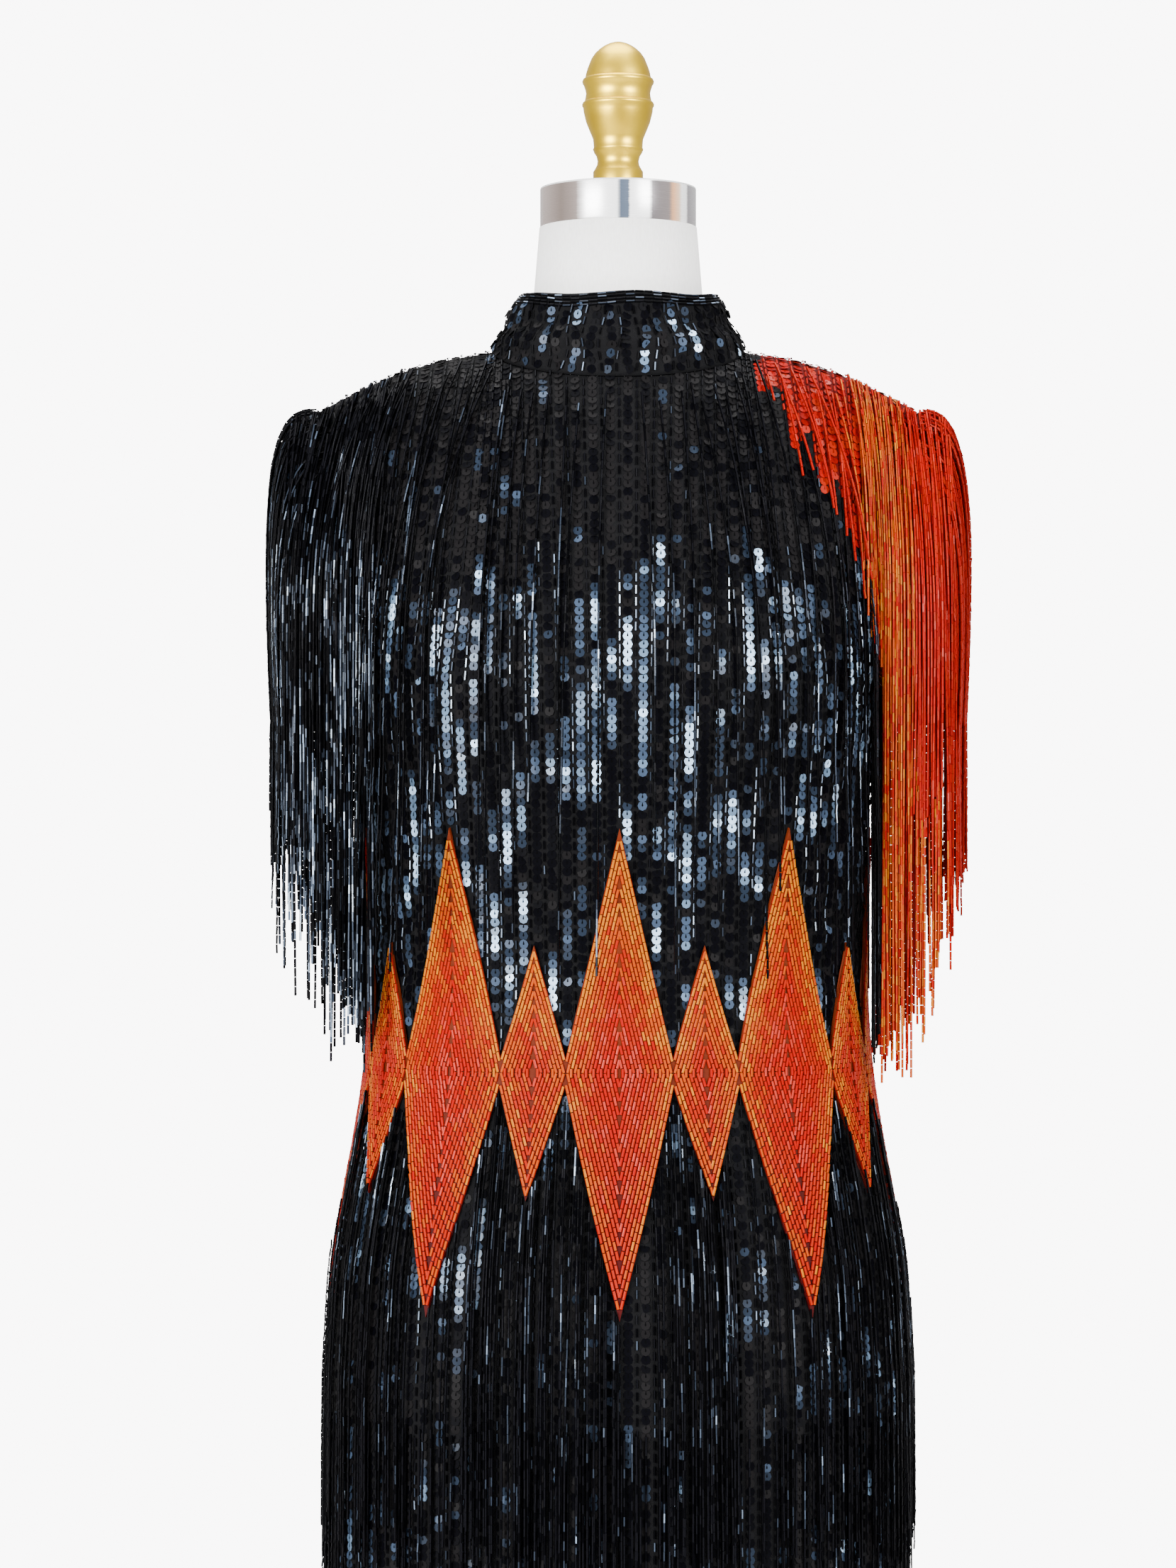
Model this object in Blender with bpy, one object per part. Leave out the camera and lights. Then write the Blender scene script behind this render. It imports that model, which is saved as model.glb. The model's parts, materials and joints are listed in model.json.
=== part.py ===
# Fringe dress on a limbless dress form.
# Metres, +Z up. The origin is the middle of the base's underside, and the front faces -Y.

import math

import bpy
import bmesh
from mathutils import Vector

MM = 0.001

# Driving heights
HEM = 420 * MM
UNDERARM = 1190 * MM
NECK_POINT = 1400 * MM
COLLAR_TOP = 1437 * MM
NECK_TOP = 1479 * MM
BORDER_MIDDLE = 950 * MM
SKIRT_FRINGE_END = 655 * MM
HEM_FRINGE_START = 735 * MM
HEM_FRINGE_END = 404 * MM
YOKE_FRINGE_END = 1065 * MM

# Driving widths, from the middle of the body
NECK_HALF_WIDTH = 80 * MM
SHOULDER_HALF_WIDTH = 190 * MM
SHOULDER_DROP_SLOPE = 0.344
SHOULDER_EASE = 12 * MM
SHOULDER_ROUNDING = 100 * MM
ARMHOLE_INSET = 12 * MM

# Cloth and seams
CLOTH = 2.0 * MM
SEAM_GAP = 0.3 * MM
HALF_GAP = SEAM_GAP / 2
BOXINESS = 0.35

# Body sections of the dress's outside: height, half width, depth to the front and to the back
SECTIONS = [
    {"height": 0.420, "half": 0.183, "front": 0.118, "back": 0.128},
    {"height": 0.600, "half": 0.184, "front": 0.119, "back": 0.130},
    {"height": 0.745, "half": 0.183, "front": 0.118, "back": 0.131},
    {"height": 0.785, "half": 0.181, "front": 0.116, "back": 0.131},
    {"height": 0.826, "half": 0.178, "front": 0.113, "back": 0.129},
    {"height": 0.870, "half": 0.171, "front": 0.109, "back": 0.124},
    {"height": 0.902, "half": 0.165, "front": 0.106, "back": 0.118},
    {"height": 0.949, "half": 0.158, "front": 0.103, "back": 0.110},
    {"height": 1.000, "half": 0.155, "front": 0.102, "back": 0.104},
    {"height": 1.060, "half": 0.156, "front": 0.108, "back": 0.103},
    {"height": 1.120, "half": 0.159, "front": 0.120, "back": 0.106},
    {"height": 1.165, "half": 0.162, "front": 0.128, "back": 0.110},
    {"height": 1.190, "half": 0.163, "front": 0.129, "back": 0.112},
    {"height": 1.200, "half": 0.167, "front": 0.128, "back": 0.112},
    {"height": 1.220, "half": 0.171, "front": 0.125, "back": 0.112},
    {"height": 1.250, "half": 0.175, "front": 0.118, "back": 0.111},
    {"height": 1.300, "half": 0.182, "front": 0.100, "back": 0.106},
    {"height": 1.350, "half": 0.198, "front": 0.086, "back": 0.096},
    {"height": 1.400, "half": 0.215, "front": 0.078, "back": 0.078},
]

# Rows of the panels: heights below the underarm, then shares of the way up to the shoulder line
LOWER_ROWS = [HEM, 0.580, 0.745, 0.800, 0.850, 0.900, 0.949, 1.000, 1.055, 1.110, 1.155]
UPPER_SHARES = [0.0, 0.04, 0.12, 0.25, 0.40, 0.56, 0.72, 0.85, 0.93, 0.975, 0.994, 1.0]
PANEL_COLUMNS = 20
NECK_SHARE = 0.42
NEXT_TO_NECK_POINT = 0.36
FRONT_NECK_DROP = 22 * MM
BACK_NECK_DROP = 8 * MM


def section(height, column):
    """One column of SECTIONS at a height, on a smooth curve through the rows."""
    rows = SECTIONS
    if height <= rows[0]["height"]:
        return rows[0][column]
    if height >= rows[-1]["height"]:
        return rows[-1][column]
    i = max(k for k in range(len(rows) - 1) if rows[k]["height"] <= height)
    low, high = rows[i], rows[i + 1]
    step = high["height"] - low["height"]

    def slope(k):
        before, after = rows[max(k - 1, 0)], rows[min(k + 1, len(rows) - 1)]
        return (after[column] - before[column]) / (after["height"] - before["height"])

    t = (height - low["height"]) / step
    rise = (
        (2 * t**3 - 3 * t**2 + 1) * low[column]
        + (t**3 - 2 * t**2 + t) * step * slope(i)
        + (3 * t**2 - 2 * t**3) * high[column]
        + (t**3 - t**2) * step * slope(i + 1)
    )
    return rise


def shoulder_line(x):
    """Height of the shoulder's ridge at a distance from the middle."""
    at_neck = math.hypot(NECK_HALF_WIDTH, SHOULDER_EASE)
    return NECK_POINT - SHOULDER_DROP_SLOPE * (math.hypot(x, SHOULDER_EASE) - at_neck)


def depth_squared(x, z, side):
    """Square of how far the dress's outside lies in front of or behind the side seams."""
    q = (x / section(z, "half")) ** 2
    round_plan = (1 - q) * (1 + BOXINESS * q)
    below = min((shoulder_line(x) - z) / SHOULDER_ROUNDING, 1)
    round_top = 1 - (1 - below) ** 2
    return section(z, side) ** 2 * round_plan * round_top


def on_body(x, z, side):
    """A point on the dress's outside, and the direction that points out of it."""
    sign = -1 if side == "front" else 1
    y = sign * math.sqrt(max(depth_squared(x, z, side), 0))
    e = 1e-5
    gx = depth_squared(x + e, z, side) - depth_squared(x - e, z, side)
    gz = depth_squared(x, z + e, side) - depth_squared(x, z - e, side)
    out = Vector((-gx / (2 * e), 2 * y, -gz / (2 * e)))
    return Vector((x, y, z)), out.normalized()


def top_of_column(u, side):
    """Where a panel's column ends: on the neckline, or past it on the shoulder seam."""
    drop = FRONT_NECK_DROP if side == "front" else BACK_NECK_DROP
    if abs(u) <= NECK_SHARE:
        turn = abs(u) / NECK_SHARE * math.pi / 2
        return NECK_HALF_WIDTH * math.sin(turn), NECK_POINT - drop * math.cos(turn)
    share = (abs(u) - NECK_SHARE) / (1 - NECK_SHARE)
    x = NECK_HALF_WIDTH + (SHOULDER_HALF_WIDTH - NECK_HALF_WIDTH) * share
    return x, shoulder_line(x)


def column_point(u, side, height=None, share=None):
    """x and z on a panel, u from -1 to 1 between the side seams, below or above the underarm."""
    sign = -1 if u < 0 else 1
    across = math.sin(abs(u) * math.pi / 2)
    if height is not None:
        return sign * section(height, "half") * across, height
    x_top, z_top = top_of_column(u, side)
    x_low = section(UNDERARM, "half") * across
    inset = ARMHOLE_INSET * math.sin(math.pi * share) * abs(u) ** 6
    x = x_low + (x_top - x_low) * share - inset
    return sign * x, UNDERARM + (z_top - UNDERARM) * share


def colour(name, rgb, roughness=0.5, metallic=0.0):
    """A plain material for a solid."""
    material = bpy.data.materials.new(name)
    material.use_nodes = True
    shader = material.node_tree.nodes["Principled BSDF"]
    shader.inputs["Base Color"].default_value = (*rgb, 1)
    shader.inputs["Roughness"].default_value = roughness
    shader.inputs["Metallic"].default_value = metallic
    return material


def add_object(name, bm, material, smooth_angle=40):
    """Turns a bmesh into a named object with its material."""
    mesh = bpy.data.meshes.new(name)
    bm.to_mesh(mesh)
    bm.free()
    mesh.materials.append(material)
    mesh.shade_smooth()
    mesh.set_sharp_from_angle(angle=math.radians(smooth_angle))
    ob = bpy.data.objects.new(name, mesh)
    bpy.context.scene.collection.objects.link(ob)
    return ob


def wall(name, rows, material, closed=False):
    """A closed wall from rows of (outer point, inner point); the outer side faces out.

    Rows go up and their points go to the right as seen from outside.
    """
    bm = bmesh.new()
    outer = [[bm.verts.new(pair[0]) for pair in row] for row in rows]
    inner = [[bm.verts.new(pair[1]) for pair in row] for row in rows]
    count = len(rows[0])
    spans = count if closed else count - 1
    for i in range(len(rows) - 1):
        for j in range(spans):
            k = (j + 1) % count
            bm.faces.new((outer[i][j], outer[i][k], outer[i + 1][k]))
            bm.faces.new((outer[i][j], outer[i + 1][k], outer[i + 1][j]))
            bm.faces.new((inner[i][j], inner[i + 1][k], inner[i][k]))
            bm.faces.new((inner[i][j], inner[i + 1][j], inner[i + 1][k]))
    for j in range(spans):
        k = (j + 1) % count
        bm.faces.new((outer[0][j], inner[0][j], inner[0][k], outer[0][k]))
        bm.faces.new((outer[-1][j], outer[-1][k], inner[-1][k], inner[-1][j]))
    if not closed:
        for i in range(len(rows) - 1):
            bm.faces.new((outer[i][0], outer[i + 1][0], inner[i + 1][0], inner[i][0]))
            bm.faces.new((outer[i][-1], inner[i][-1], inner[i + 1][-1], outer[i + 1][-1]))
    return add_object(name, bm, material)


def layer(x, z, side, low, high, gap=HALF_GAP):
    """A pair of points at two distances out of the dress's outside: the outer, then the inner."""
    point, out = on_body(x, z, side)
    shift = Vector((0, -gap if side == "front" else gap, 0))
    return point + out * high + shift, point + out * low + shift


def panel_columns(side, start, stop, count):
    """Column shares of a panel, in the order that faces out, closer together at the neck point."""
    shares = [start + (stop - start) * k / count for k in range(count + 1)]
    near = NECK_SHARE
    shares = [math.copysign(near, u) if abs(abs(u) - near) < 0.03 else u for u in shares]
    shares += [u for u in (-NEXT_TO_NECK_POINT, NEXT_TO_NECK_POINT) if start < u < stop]
    return sorted(shares, reverse=side == "back")


def panel(name, side, start, stop, count, material):
    """A front or back panel as a wall through its rows."""
    columns = panel_columns(side, start, stop, count)
    rows = []
    for height in LOWER_ROWS:
        rows.append([column_point(u, side, height=height) for u in columns])
    for share in UPPER_SHARES:
        rows.append([column_point(u, side, share=share) for u in columns])
    nudge = seam_nudge(start, stop)
    walls = [[layer(x + nudge, z, side, -CLOTH, 0) for x, z in row] for row in rows]
    return wall(name, walls, material)


def seam_nudge(start, stop):
    """Shift that opens the centre-back seam for a half panel."""
    if start < 0 < stop:
        return 0
    return HALF_GAP if start >= 0 else -HALF_GAP


# Sleeve
SLEEVE_HEM = 1165 * MM
SLEEVE_MIDDLE = 193 * MM
SLEEVE_HALF_THICK = 23 * MM
SLEEVE_HALF_DEEP = 66 * MM
SLEEVE_SHARES = [0.0, 0.16, 0.32, 0.48, 0.7, 1.0]


def armhole_point(turn):
    """A point of the right-hand armhole, by turn from the shoulder tip to the front and round."""
    side = "front" if turn <= math.pi else "back"
    down = turn / math.pi if turn <= math.pi else 2 - turn / math.pi
    share = 0.5 + 0.5 * math.cos(math.pi * down)
    x, z = column_point(1, side, share=share)
    point, _ = on_body(x, z, side)
    return point


def sleeve_turns():
    """Turns round the armhole that fall on the panels' own edge points."""
    front = [math.acos(2 * share - 1) for share in reversed(UPPER_SHARES)]
    back = [2 * math.pi - turn for turn in reversed(front[1:-1])]
    return front + back


def sleeve_point(turn, share):
    """A point on the +X sleeve's outside, from the armhole (0) to the sleeve's hem (1)."""
    start = armhole_point(turn) + Vector((SEAM_GAP, 0, 0))
    end = Vector(
        (
            SLEEVE_MIDDLE + SLEEVE_HALF_THICK * math.cos(turn),
            -SLEEVE_HALF_DEEP * math.sin(turn),
            SLEEVE_HEM,
        )
    )
    reach = (5 + 10.5 * (1 + math.cos(turn))) * MM
    first = start + Vector((reach, 0, 1 * MM * (1 + math.cos(turn))))
    second = end + Vector((4 * MM * (1 + math.cos(turn)), 0, 0.87 * (start.z - end.z)))
    t = share
    return (
        start * (1 - t) ** 3
        + first * 3 * t * (1 - t) ** 2
        + second * 3 * t**2 * (1 - t)
        + end * t**3
    )


def sleeve_normal(turn, share):
    """The direction out of the sleeve's outside."""
    e = 1e-4
    low, high = max(share - e, 0), min(share + e, 1)
    along = sleeve_point(turn, high) - sleeve_point(turn, low)
    around = sleeve_point(turn + e, max(share, 0.002)) - sleeve_point(turn - e, max(share, 0.002))
    return around.cross(along).normalized()


def mirrored(pair, sign):
    return tuple(Vector((sign * p.x, p.y, p.z)) for p in pair)


def sleeve(name, sign, material):
    """A short sleeve as a tube from the armhole to its own hem."""
    rows = []
    for share in reversed(SLEEVE_SHARES):
        row = []
        for turn in sleeve_turns():
            point, out = sleeve_point(turn, share), sleeve_normal(turn, share)
            row.append(mirrored((point, point - out * CLOTH), sign))
        rows.append(row if sign < 0 else list(reversed(row)))
    return wall(name, rows, material, closed=True)


# Collar
COLLAR_TOP_HALF_WIDTH = 61 * MM
COLLAR_TOP_FRONT = 58 * MM
COLLAR_TOP_BACK = 54 * MM
COLLAR_BULGE = 4 * MM
COLLAR_LIFT = 0.6 * MM
COLLAR_SHARES = [0.0, 0.25, 0.5, 0.75, 1.0]


def collar_turns():
    """Turns round the collar that fall on the panels' own points along the neckline."""
    shares = [u for u in panel_columns("front", 0, 1, PANEL_COLUMNS // 2) if u <= NECK_SHARE]
    quarter = [u / NECK_SHARE * math.pi / 2 for u in shares]
    half = quarter + [math.pi - turn for turn in reversed(quarter[:-1])]
    return [-turn for turn in reversed(half[1:])] + half


def collar_point(turn, share):
    """A point on the collar's outside: turn 0 is the front, pi the back, share 1 the top edge."""
    side = "front" if math.cos(turn) >= 0 else "back"
    drop = FRONT_NECK_DROP if side == "front" else BACK_NECK_DROP
    x = NECK_HALF_WIDTH * math.sin(turn)
    z = NECK_POINT - drop * abs(math.cos(turn))
    foot, _ = on_body(x, z, side)
    foot.z += COLLAR_LIFT
    top_depth = COLLAR_TOP_FRONT if side == "front" else COLLAR_TOP_BACK
    top = Vector(
        (COLLAR_TOP_HALF_WIDTH * math.sin(turn), -top_depth * math.cos(turn), COLLAR_TOP)
    )
    bulge = Vector((math.sin(turn), -math.cos(turn), 0)) * COLLAR_BULGE * math.sin(math.pi * share)
    return foot.lerp(top, share) + bulge


def collar(name, material):
    """The stand collar, open by a seam's gap at the centre back."""
    slit = HALF_GAP / COLLAR_TOP_BACK
    rows = []
    for share in COLLAR_SHARES:
        row = []
        for turn in collar_turns():
            turn = min(max(turn, slit - math.pi), math.pi - slit)
            point = collar_point(turn, share)
            inward = Vector((-math.sin(turn), math.cos(turn), 0))
            row.append((point, point + inward * CLOTH))
        rows.append(row)
    return wall(name, rows, material)


# Beaded border of lozenges: tall ones, with small ones between them
TALL_LOZENGE = 150 * MM
SMALL_LOZENGE = 78 * MM
LOZENGE_NECK = 9 * MM
TALL_SHARE = 0.31
BORDER_OUT = 2.3 * MM
LOZENGES_PER_HALF = 4
BORDER_STEPS = 2
CUTTER_REACH = 9 * MM
CUTTER_ROWS = 4


def border_half_height(u):
    """Half of the border's height at a column share, where a tall lozenge is centred on 0."""
    period = 2 / LOZENGES_PER_HALF
    place = abs((u / period + 0.5) % 1 - 0.5)
    if place <= TALL_SHARE:
        return LOZENGE_NECK + (TALL_LOZENGE - LOZENGE_NECK) * (1 - place / TALL_SHARE)
    across = (place - TALL_SHARE) / (0.5 - TALL_SHARE)
    return LOZENGE_NECK + (SMALL_LOZENGE - LOZENGE_NECK) * across


def border_edge(start, stop):
    """Column shares along the border's edge, with one on each point and neck of the lozenges."""
    period = 2 / LOZENGES_PER_HALF
    corners = {start, stop}
    for k in range(-LOZENGES_PER_HALF, LOZENGES_PER_HALF + 1):
        for place in (0, TALL_SHARE, 0.5, 1 - TALL_SHARE):
            u = (k + place) * period
            if start < u < stop:
                corners.add(u)
    corners = sorted(corners)
    points = []
    for low, high in zip(corners, corners[1:]):
        points += [low + (high - low) * k / BORDER_STEPS for k in range(BORDER_STEPS)]
    return points + [stop]


def arc_column(u, height, side):
    """Column share whose distance round the body is u of the way from the middle to the seam."""
    steps = 48
    half, depth = section(height, "half"), section(height, side)
    lengths = [0.0]
    for k in range(steps):
        a, b = k / steps * math.pi / 2, (k + 1) / steps * math.pi / 2
        dx = half * (math.sin(b) - math.sin(a))
        dy = depth * (plan_depth(b) - plan_depth(a))
        lengths.append(lengths[-1] + math.hypot(dx, dy))
    goal = abs(u) * lengths[-1]
    k = max(i for i in range(steps) if lengths[i] <= goal)
    part = (goal - lengths[k]) / (lengths[k + 1] - lengths[k])
    return math.copysign(min((k + part) / steps, 1), u)


def plan_depth(turn):
    """Depth of the body's plan at a turn, as a share of its full depth."""
    q = math.sin(turn) ** 2
    return math.cos(turn) * math.sqrt(1 + BOXINESS * q)


def border_cutter(name, side, start, stop, material):
    """A thick wall with the border's outline, which runs a little past the seams."""
    columns = border_edge(start, stop)
    if side == "back":
        columns = columns[::-1]
    rows = []
    for k in range(CUTTER_ROWS + 1):
        level = 2 * k / CUTTER_ROWS - 1
        row = []
        for u in columns:
            height = BORDER_MIDDLE + level * border_half_height(u)
            x, z = column_point(arc_column(u, BORDER_MIDDLE, side), side, height=height)
            row.append(layer(x, z, side, -CUTTER_REACH, CUTTER_REACH, gap=-HALF_GAP))
        rows.append(row)
    cutter = wall(name, rows, material)
    cutter.hide_render = True
    cutter.display_type = "WIRE"
    return cutter


def border(name, side, start, stop, count, material):
    """A part of the border: a layer moved out from the panel's own points, cut to the outline."""
    columns = panel_columns(side, start, stop, count)
    nudge = seam_nudge(start, stop)
    reach = TALL_LOZENGE + LOZENGE_NECK
    heights = [h for h in LOWER_ROWS if abs(h - BORDER_MIDDLE) < reach + 30 * MM]
    rows = []
    for height in heights:
        points = [column_point(u, side, height=height) for u in columns]
        rows.append([layer(x + nudge, z, side, SEAM_GAP, BORDER_OUT) for x, z in points])
    band = wall(name, rows, material)
    cut = band.modifiers.new("outline", "BOOLEAN")
    cut.operation = "INTERSECT"
    cut.solver = "EXACT"
    cut.object = border_cutter(f"{name}_outline", side, start, stop, material)
    return band


# Fringe
STRIP_HEIGHT = 6 * MM
STRIP_OFF = 0.7 * MM
STRIP_THICK = 1.2 * MM
BELOW_BORDER = 9 * MM
STRAND_THICK = 2.0 * MM
STRAND_TIP = 0.75
NEXT_TO_SIDE_SEAM = 0.98
CENTRE_BACK = 0.004
UNEVEN = [0.0, 0.6, -0.4, 1.0, -0.9, 0.3, -0.2, 0.8, -0.6, 0.1, 0.5, -1.0]

# Tiers round the body: strands on each side, reach round to the side seam as a share, distance
# off the cloth, shares of the strand's length where it bends, and how uneven its tips are
TIERS = {
    "skirt": {"count": 24, "reach": 0.995, "off": 0.0054, "bends": (0.25, 0.6, 1.0), "uneven": 0.016},
    "hem": {"count": 22, "reach": 0.995, "off": 0.0026, "bends": (0.2, 1.0), "uneven": 0.007},
    "yoke": {
        "count": 16, "reach": 0.80, "off": 0.0050, "bends": (0.10, 0.24, 0.40, 0.56, 1.0), "uneven": 0.045
    },
}
YOKE_ROOT_DROP = 46 * MM
YOKE_ROOT_CURVE = 30 * MM

# Sleeve fringe: it goes round the outside to this turn on each side, from one share of the sleeve
SLEEVE_STRANDS = 17
SLEEVE_FRINGE_REACH = math.radians(128)
SLEEVE_STRIP_TOP = 0.42
SLEEVE_STRIP_FOOT = 0.45
SLEEVE_STRAND_OFF = 4.8 * MM
SLEEVE_TIP_INSIDE = 935 * MM
SLEEVE_TIP_OUTSIDE = 1060 * MM
SLEEVE_TIP_UNEVEN = 22 * MM


def fringe(name, cells, paths, material):
    """A strip with strands hanging from it as one closed body.

    cells holds, for each edge between two cells, three points: the strip's back foot, its front
    foot and its top. paths holds for each even cell the shift of its strand's foot at each level,
    and every level is a list of four points in the order of the foot's corners.
    """
    bm = bmesh.new()
    edges = [[bm.verts.new(p) for p in edge] for edge in cells]
    for i in range(len(edges) - 1):
        (b0, f0, t0), (b1, f1, t1) = edges[i], edges[i + 1]
        bm.faces.new((f0, f1, t1, t0))
        bm.faces.new((b1, b0, t0, t1))
        foot = [b0, b1, f1, f0]
        if i not in paths:
            bm.faces.new(foot)
            continue
        ring = foot
        for level in paths[i]:
            lower = [bm.verts.new(p) for p in level]
            for k in range(4):
                n = (k + 1) % 4
                bm.faces.new((ring[n], ring[k], lower[k], lower[n]))
            ring = lower
        bm.faces.new(ring)
    bm.faces.new(edges[0][::-1])
    bm.faces.new(edges[-1])
    bmesh.ops.recalc_face_normals(bm, faces=bm.faces)
    return add_object(name, bm, material)


def square_round(middle, across, out, width, thick):
    """Four corners of a strand round its middle, in the order that fringe needs."""
    a, b = across * (width / 2), out * (thick / 2)
    return [middle - a - b, middle + a - b, middle + a + b, middle - a + b]


def strip_foot(tier, u):
    """Height of the lower edge of a tier's strip at a share of the way to the side seam."""
    if tier == "skirt":
        return BORDER_MIDDLE - border_half_height(u) - STRIP_HEIGHT - BELOW_BORDER
    if tier == "hem":
        return HEM_FRINGE_START
    return NECK_POINT - YOKE_ROOT_DROP - YOKE_ROOT_CURVE * u**2


def strand_tip(tier, k):
    """Height of the lower end of a tier's strand."""
    shift = TIERS[tier]["uneven"] * UNEVEN[k % len(UNEVEN)]
    if tier == "hem":
        return HEM_FRINGE_END + abs(shift)
    return (SKIRT_FRINGE_END if tier == "skirt" else YOKE_FRINGE_END) + shift


def body_fringe(name, tier, side, start, stop, count, material):
    """A tier's fringe on one panel."""
    nudge = seam_nudge(start, stop)
    cell_count = 2 * count
    shares = [start + (stop - start) * k / cell_count for k in range(cell_count + 1)]

    def place(u, z, off):
        share = arc_column(u, BORDER_MIDDLE, side)
        x, _ = column_point(share, side, height=min(z, UNDERARM))
        point, out = on_body(x + nudge, z, side)
        point += out * off
        point.y += -HALF_GAP if side == "front" else HALF_GAP
        return point, out

    cells = []
    for u in shares:
        z = strip_foot(tier, u)
        back, _ = place(u, z, STRIP_OFF)
        front, _ = place(u, z, STRIP_OFF + STRIP_THICK)
        top, _ = place(u, z + STRIP_HEIGHT, STRIP_OFF)
        cells.append((back, front, top))
    paths = {}
    for k in range(count):
        i = 2 * k + 1
        if shares[i + 1] > NEXT_TO_SIDE_SEAM:
            continue
        u = (shares[i] + shares[i + 1]) / 2
        foot = (strip_foot(tier, shares[i]) + strip_foot(tier, shares[i + 1])) / 2
        tip = strand_tip(tier, k)
        left, _ = place(shares[i], foot, 0)
        right, _ = place(shares[i + 1], foot, 0)
        width = (right - left).length
        levels = []
        furthest = 0.0
        for drop in TIERS[tier]["bends"]:
            z = foot + (tip - foot) * drop
            middle, out = place(u, z, TIERS[tier]["off"])
            flat = Vector((out.x, out.y, 0)).normalized()
            reach = abs(middle.y)
            if reach < furthest:
                middle.y = math.copysign(furthest, middle.y)
            furthest = max(furthest, abs(middle.y))
            across = Vector((-flat.y, flat.x, 0))
            if across.dot(right - left) < 0:
                across = -across
            size = width * (1 - (1 - STRAND_TIP) * drop)
            levels.append(square_round(middle, across, flat, size, STRAND_THICK))
        paths[i] = levels
    return fringe(name, cells, paths, material)


def sleeve_fringe(name, sign, material):
    """Fringe round the sleeve's front, outside and back, with its longest strands next to the body."""
    cell_count = 2 * SLEEVE_STRANDS + 1
    widest = SLEEVE_FRINGE_REACH
    foot = SLEEVE_STRIP_FOOT
    turns = [-widest + 2 * widest * k / cell_count for k in range(cell_count + 1)]

    def place(turn, share, off):
        wrapped = turn % (2 * math.pi)
        return sleeve_point(wrapped, share) + sleeve_normal(wrapped, share) * off

    cells = []
    for turn in turns:
        back = place(turn, foot, STRIP_OFF)
        front = place(turn, foot, STRIP_OFF + STRIP_THICK)
        top = place(turn, SLEEVE_STRIP_TOP, STRIP_OFF)
        cells.append([mirrored((p,), sign)[0] for p in (back, front, top)])
    paths = {}
    for k in range(SLEEVE_STRANDS):
        i = 2 * k + 1
        turn = (turns[i] + turns[i + 1]) / 2
        width = (place(turns[i + 1], foot, 0) - place(turns[i], foot, 0)).length * 0.9
        flat = Vector((math.cos(turn) * SLEEVE_HALF_DEEP, -math.sin(turn) * SLEEVE_HALF_THICK, 0))
        flat.normalize()
        across = Vector((-flat.y, flat.x, 0))
        high = place(turn, 0.62, SLEEVE_STRAND_OFF)
        low = place(turn, 1.0, 0) + flat * SLEEVE_STRAND_OFF
        outward = (math.cos(turn) - math.cos(widest)) / (1 - math.cos(widest))
        tip = Vector(low)
        tip.z = SLEEVE_TIP_INSIDE + (SLEEVE_TIP_OUTSIDE - SLEEVE_TIP_INSIDE) * outward
        tip.z += SLEEVE_TIP_UNEVEN * UNEVEN[k % len(UNEVEN)]
        levels = []
        for middle, size in ((high, 1.0), (low, 0.9), (tip, STRAND_TIP)):
            corners = square_round(middle, -across, flat, width * size, STRAND_THICK)
            levels.append([mirrored((p,), sign)[0] for p in corners])
        paths[i] = levels
    return fringe(name, cells, paths, material)


# Dress form
FORM_CLEARANCE = 5 * MM
FORM_SEAT = 3.0 * MM
FORM_BOTTOM = 800 * MM
FORM_ARM_HALF_WIDTH = 155 * MM
FORM_COLUMNS = 28
FORM_ROWS = [0.800, 0.806, 0.826, 0.870, 0.902, 0.949, 1.000, 1.060, 1.120, 1.165, 1.200, 1.250, 1.300,
             1.332, 1.350, 1.362, 1.372, 1.382, 1.391]
NECK_ROWS = [
    {"height": 1.398, "half": 0.0705, "front": 0.0550, "back": 0.0512},
    {"height": 1.405, "half": 0.0650, "front": 0.0545, "back": 0.0510},
    {"height": 1.416, "half": 0.0585, "front": 0.0530, "back": 0.0505},
    {"height": 1.437, "half": 0.0535, "front": 0.0515, "back": 0.0500},
    {"height": 1.479, "half": 0.0500, "front": 0.0500, "back": 0.0500},
]


def form_half_width(z):
    """Half width of the form at a height, which ends at the arms and at the shoulder's ridge."""
    ridge = (NECK_POINT - FORM_SEAT - z) / SHOULDER_DROP_SLOPE
    ridge += math.hypot(NECK_HALF_WIDTH, SHOULDER_EASE)
    limit = math.sqrt(max(ridge**2 - SHOULDER_EASE**2, 0))
    return min(section(min(z, UNDERARM), "half") - FORM_CLEARANCE, FORM_ARM_HALF_WIDTH, limit)


def form_depth(x, z, side):
    """Depth of the form at a place, a clearance inside the dress."""
    half = section(min(z, UNDERARM), "half") - FORM_CLEARANCE
    half = min(half, FORM_ARM_HALF_WIDTH)
    q = min((x / half) ** 2, 1)
    below = min((shoulder_line(x) - FORM_SEAT - z) / SHOULDER_ROUNDING, 1)
    round_top = max(1 - (1 - below) ** 2, 0)
    depth = section(z, side) - FORM_CLEARANCE
    return depth * math.sqrt((1 - q) * (1 + BOXINESS * q) * round_top)


def form_ring(z):
    """One level ring of the form's torso."""
    ring = []
    lift = 1.0
    if z < FORM_BOTTOM + 20 * MM:
        lift = 1 - 0.06 * (1 - (z - FORM_BOTTOM) / (20 * MM)) ** 2
    for k in range(FORM_COLUMNS):
        turn = 2 * math.pi * k / FORM_COLUMNS
        x = form_half_width(z) * math.sin(turn)
        side = "front" if math.cos(turn) > 0 else "back"
        y = form_depth(x, z, side) * (-1 if side == "front" else 1)
        if abs(math.cos(turn)) < 1e-6:
            y = 0.0
        ring.append(Vector((x * lift, y * lift, z)))
    return ring


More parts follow.
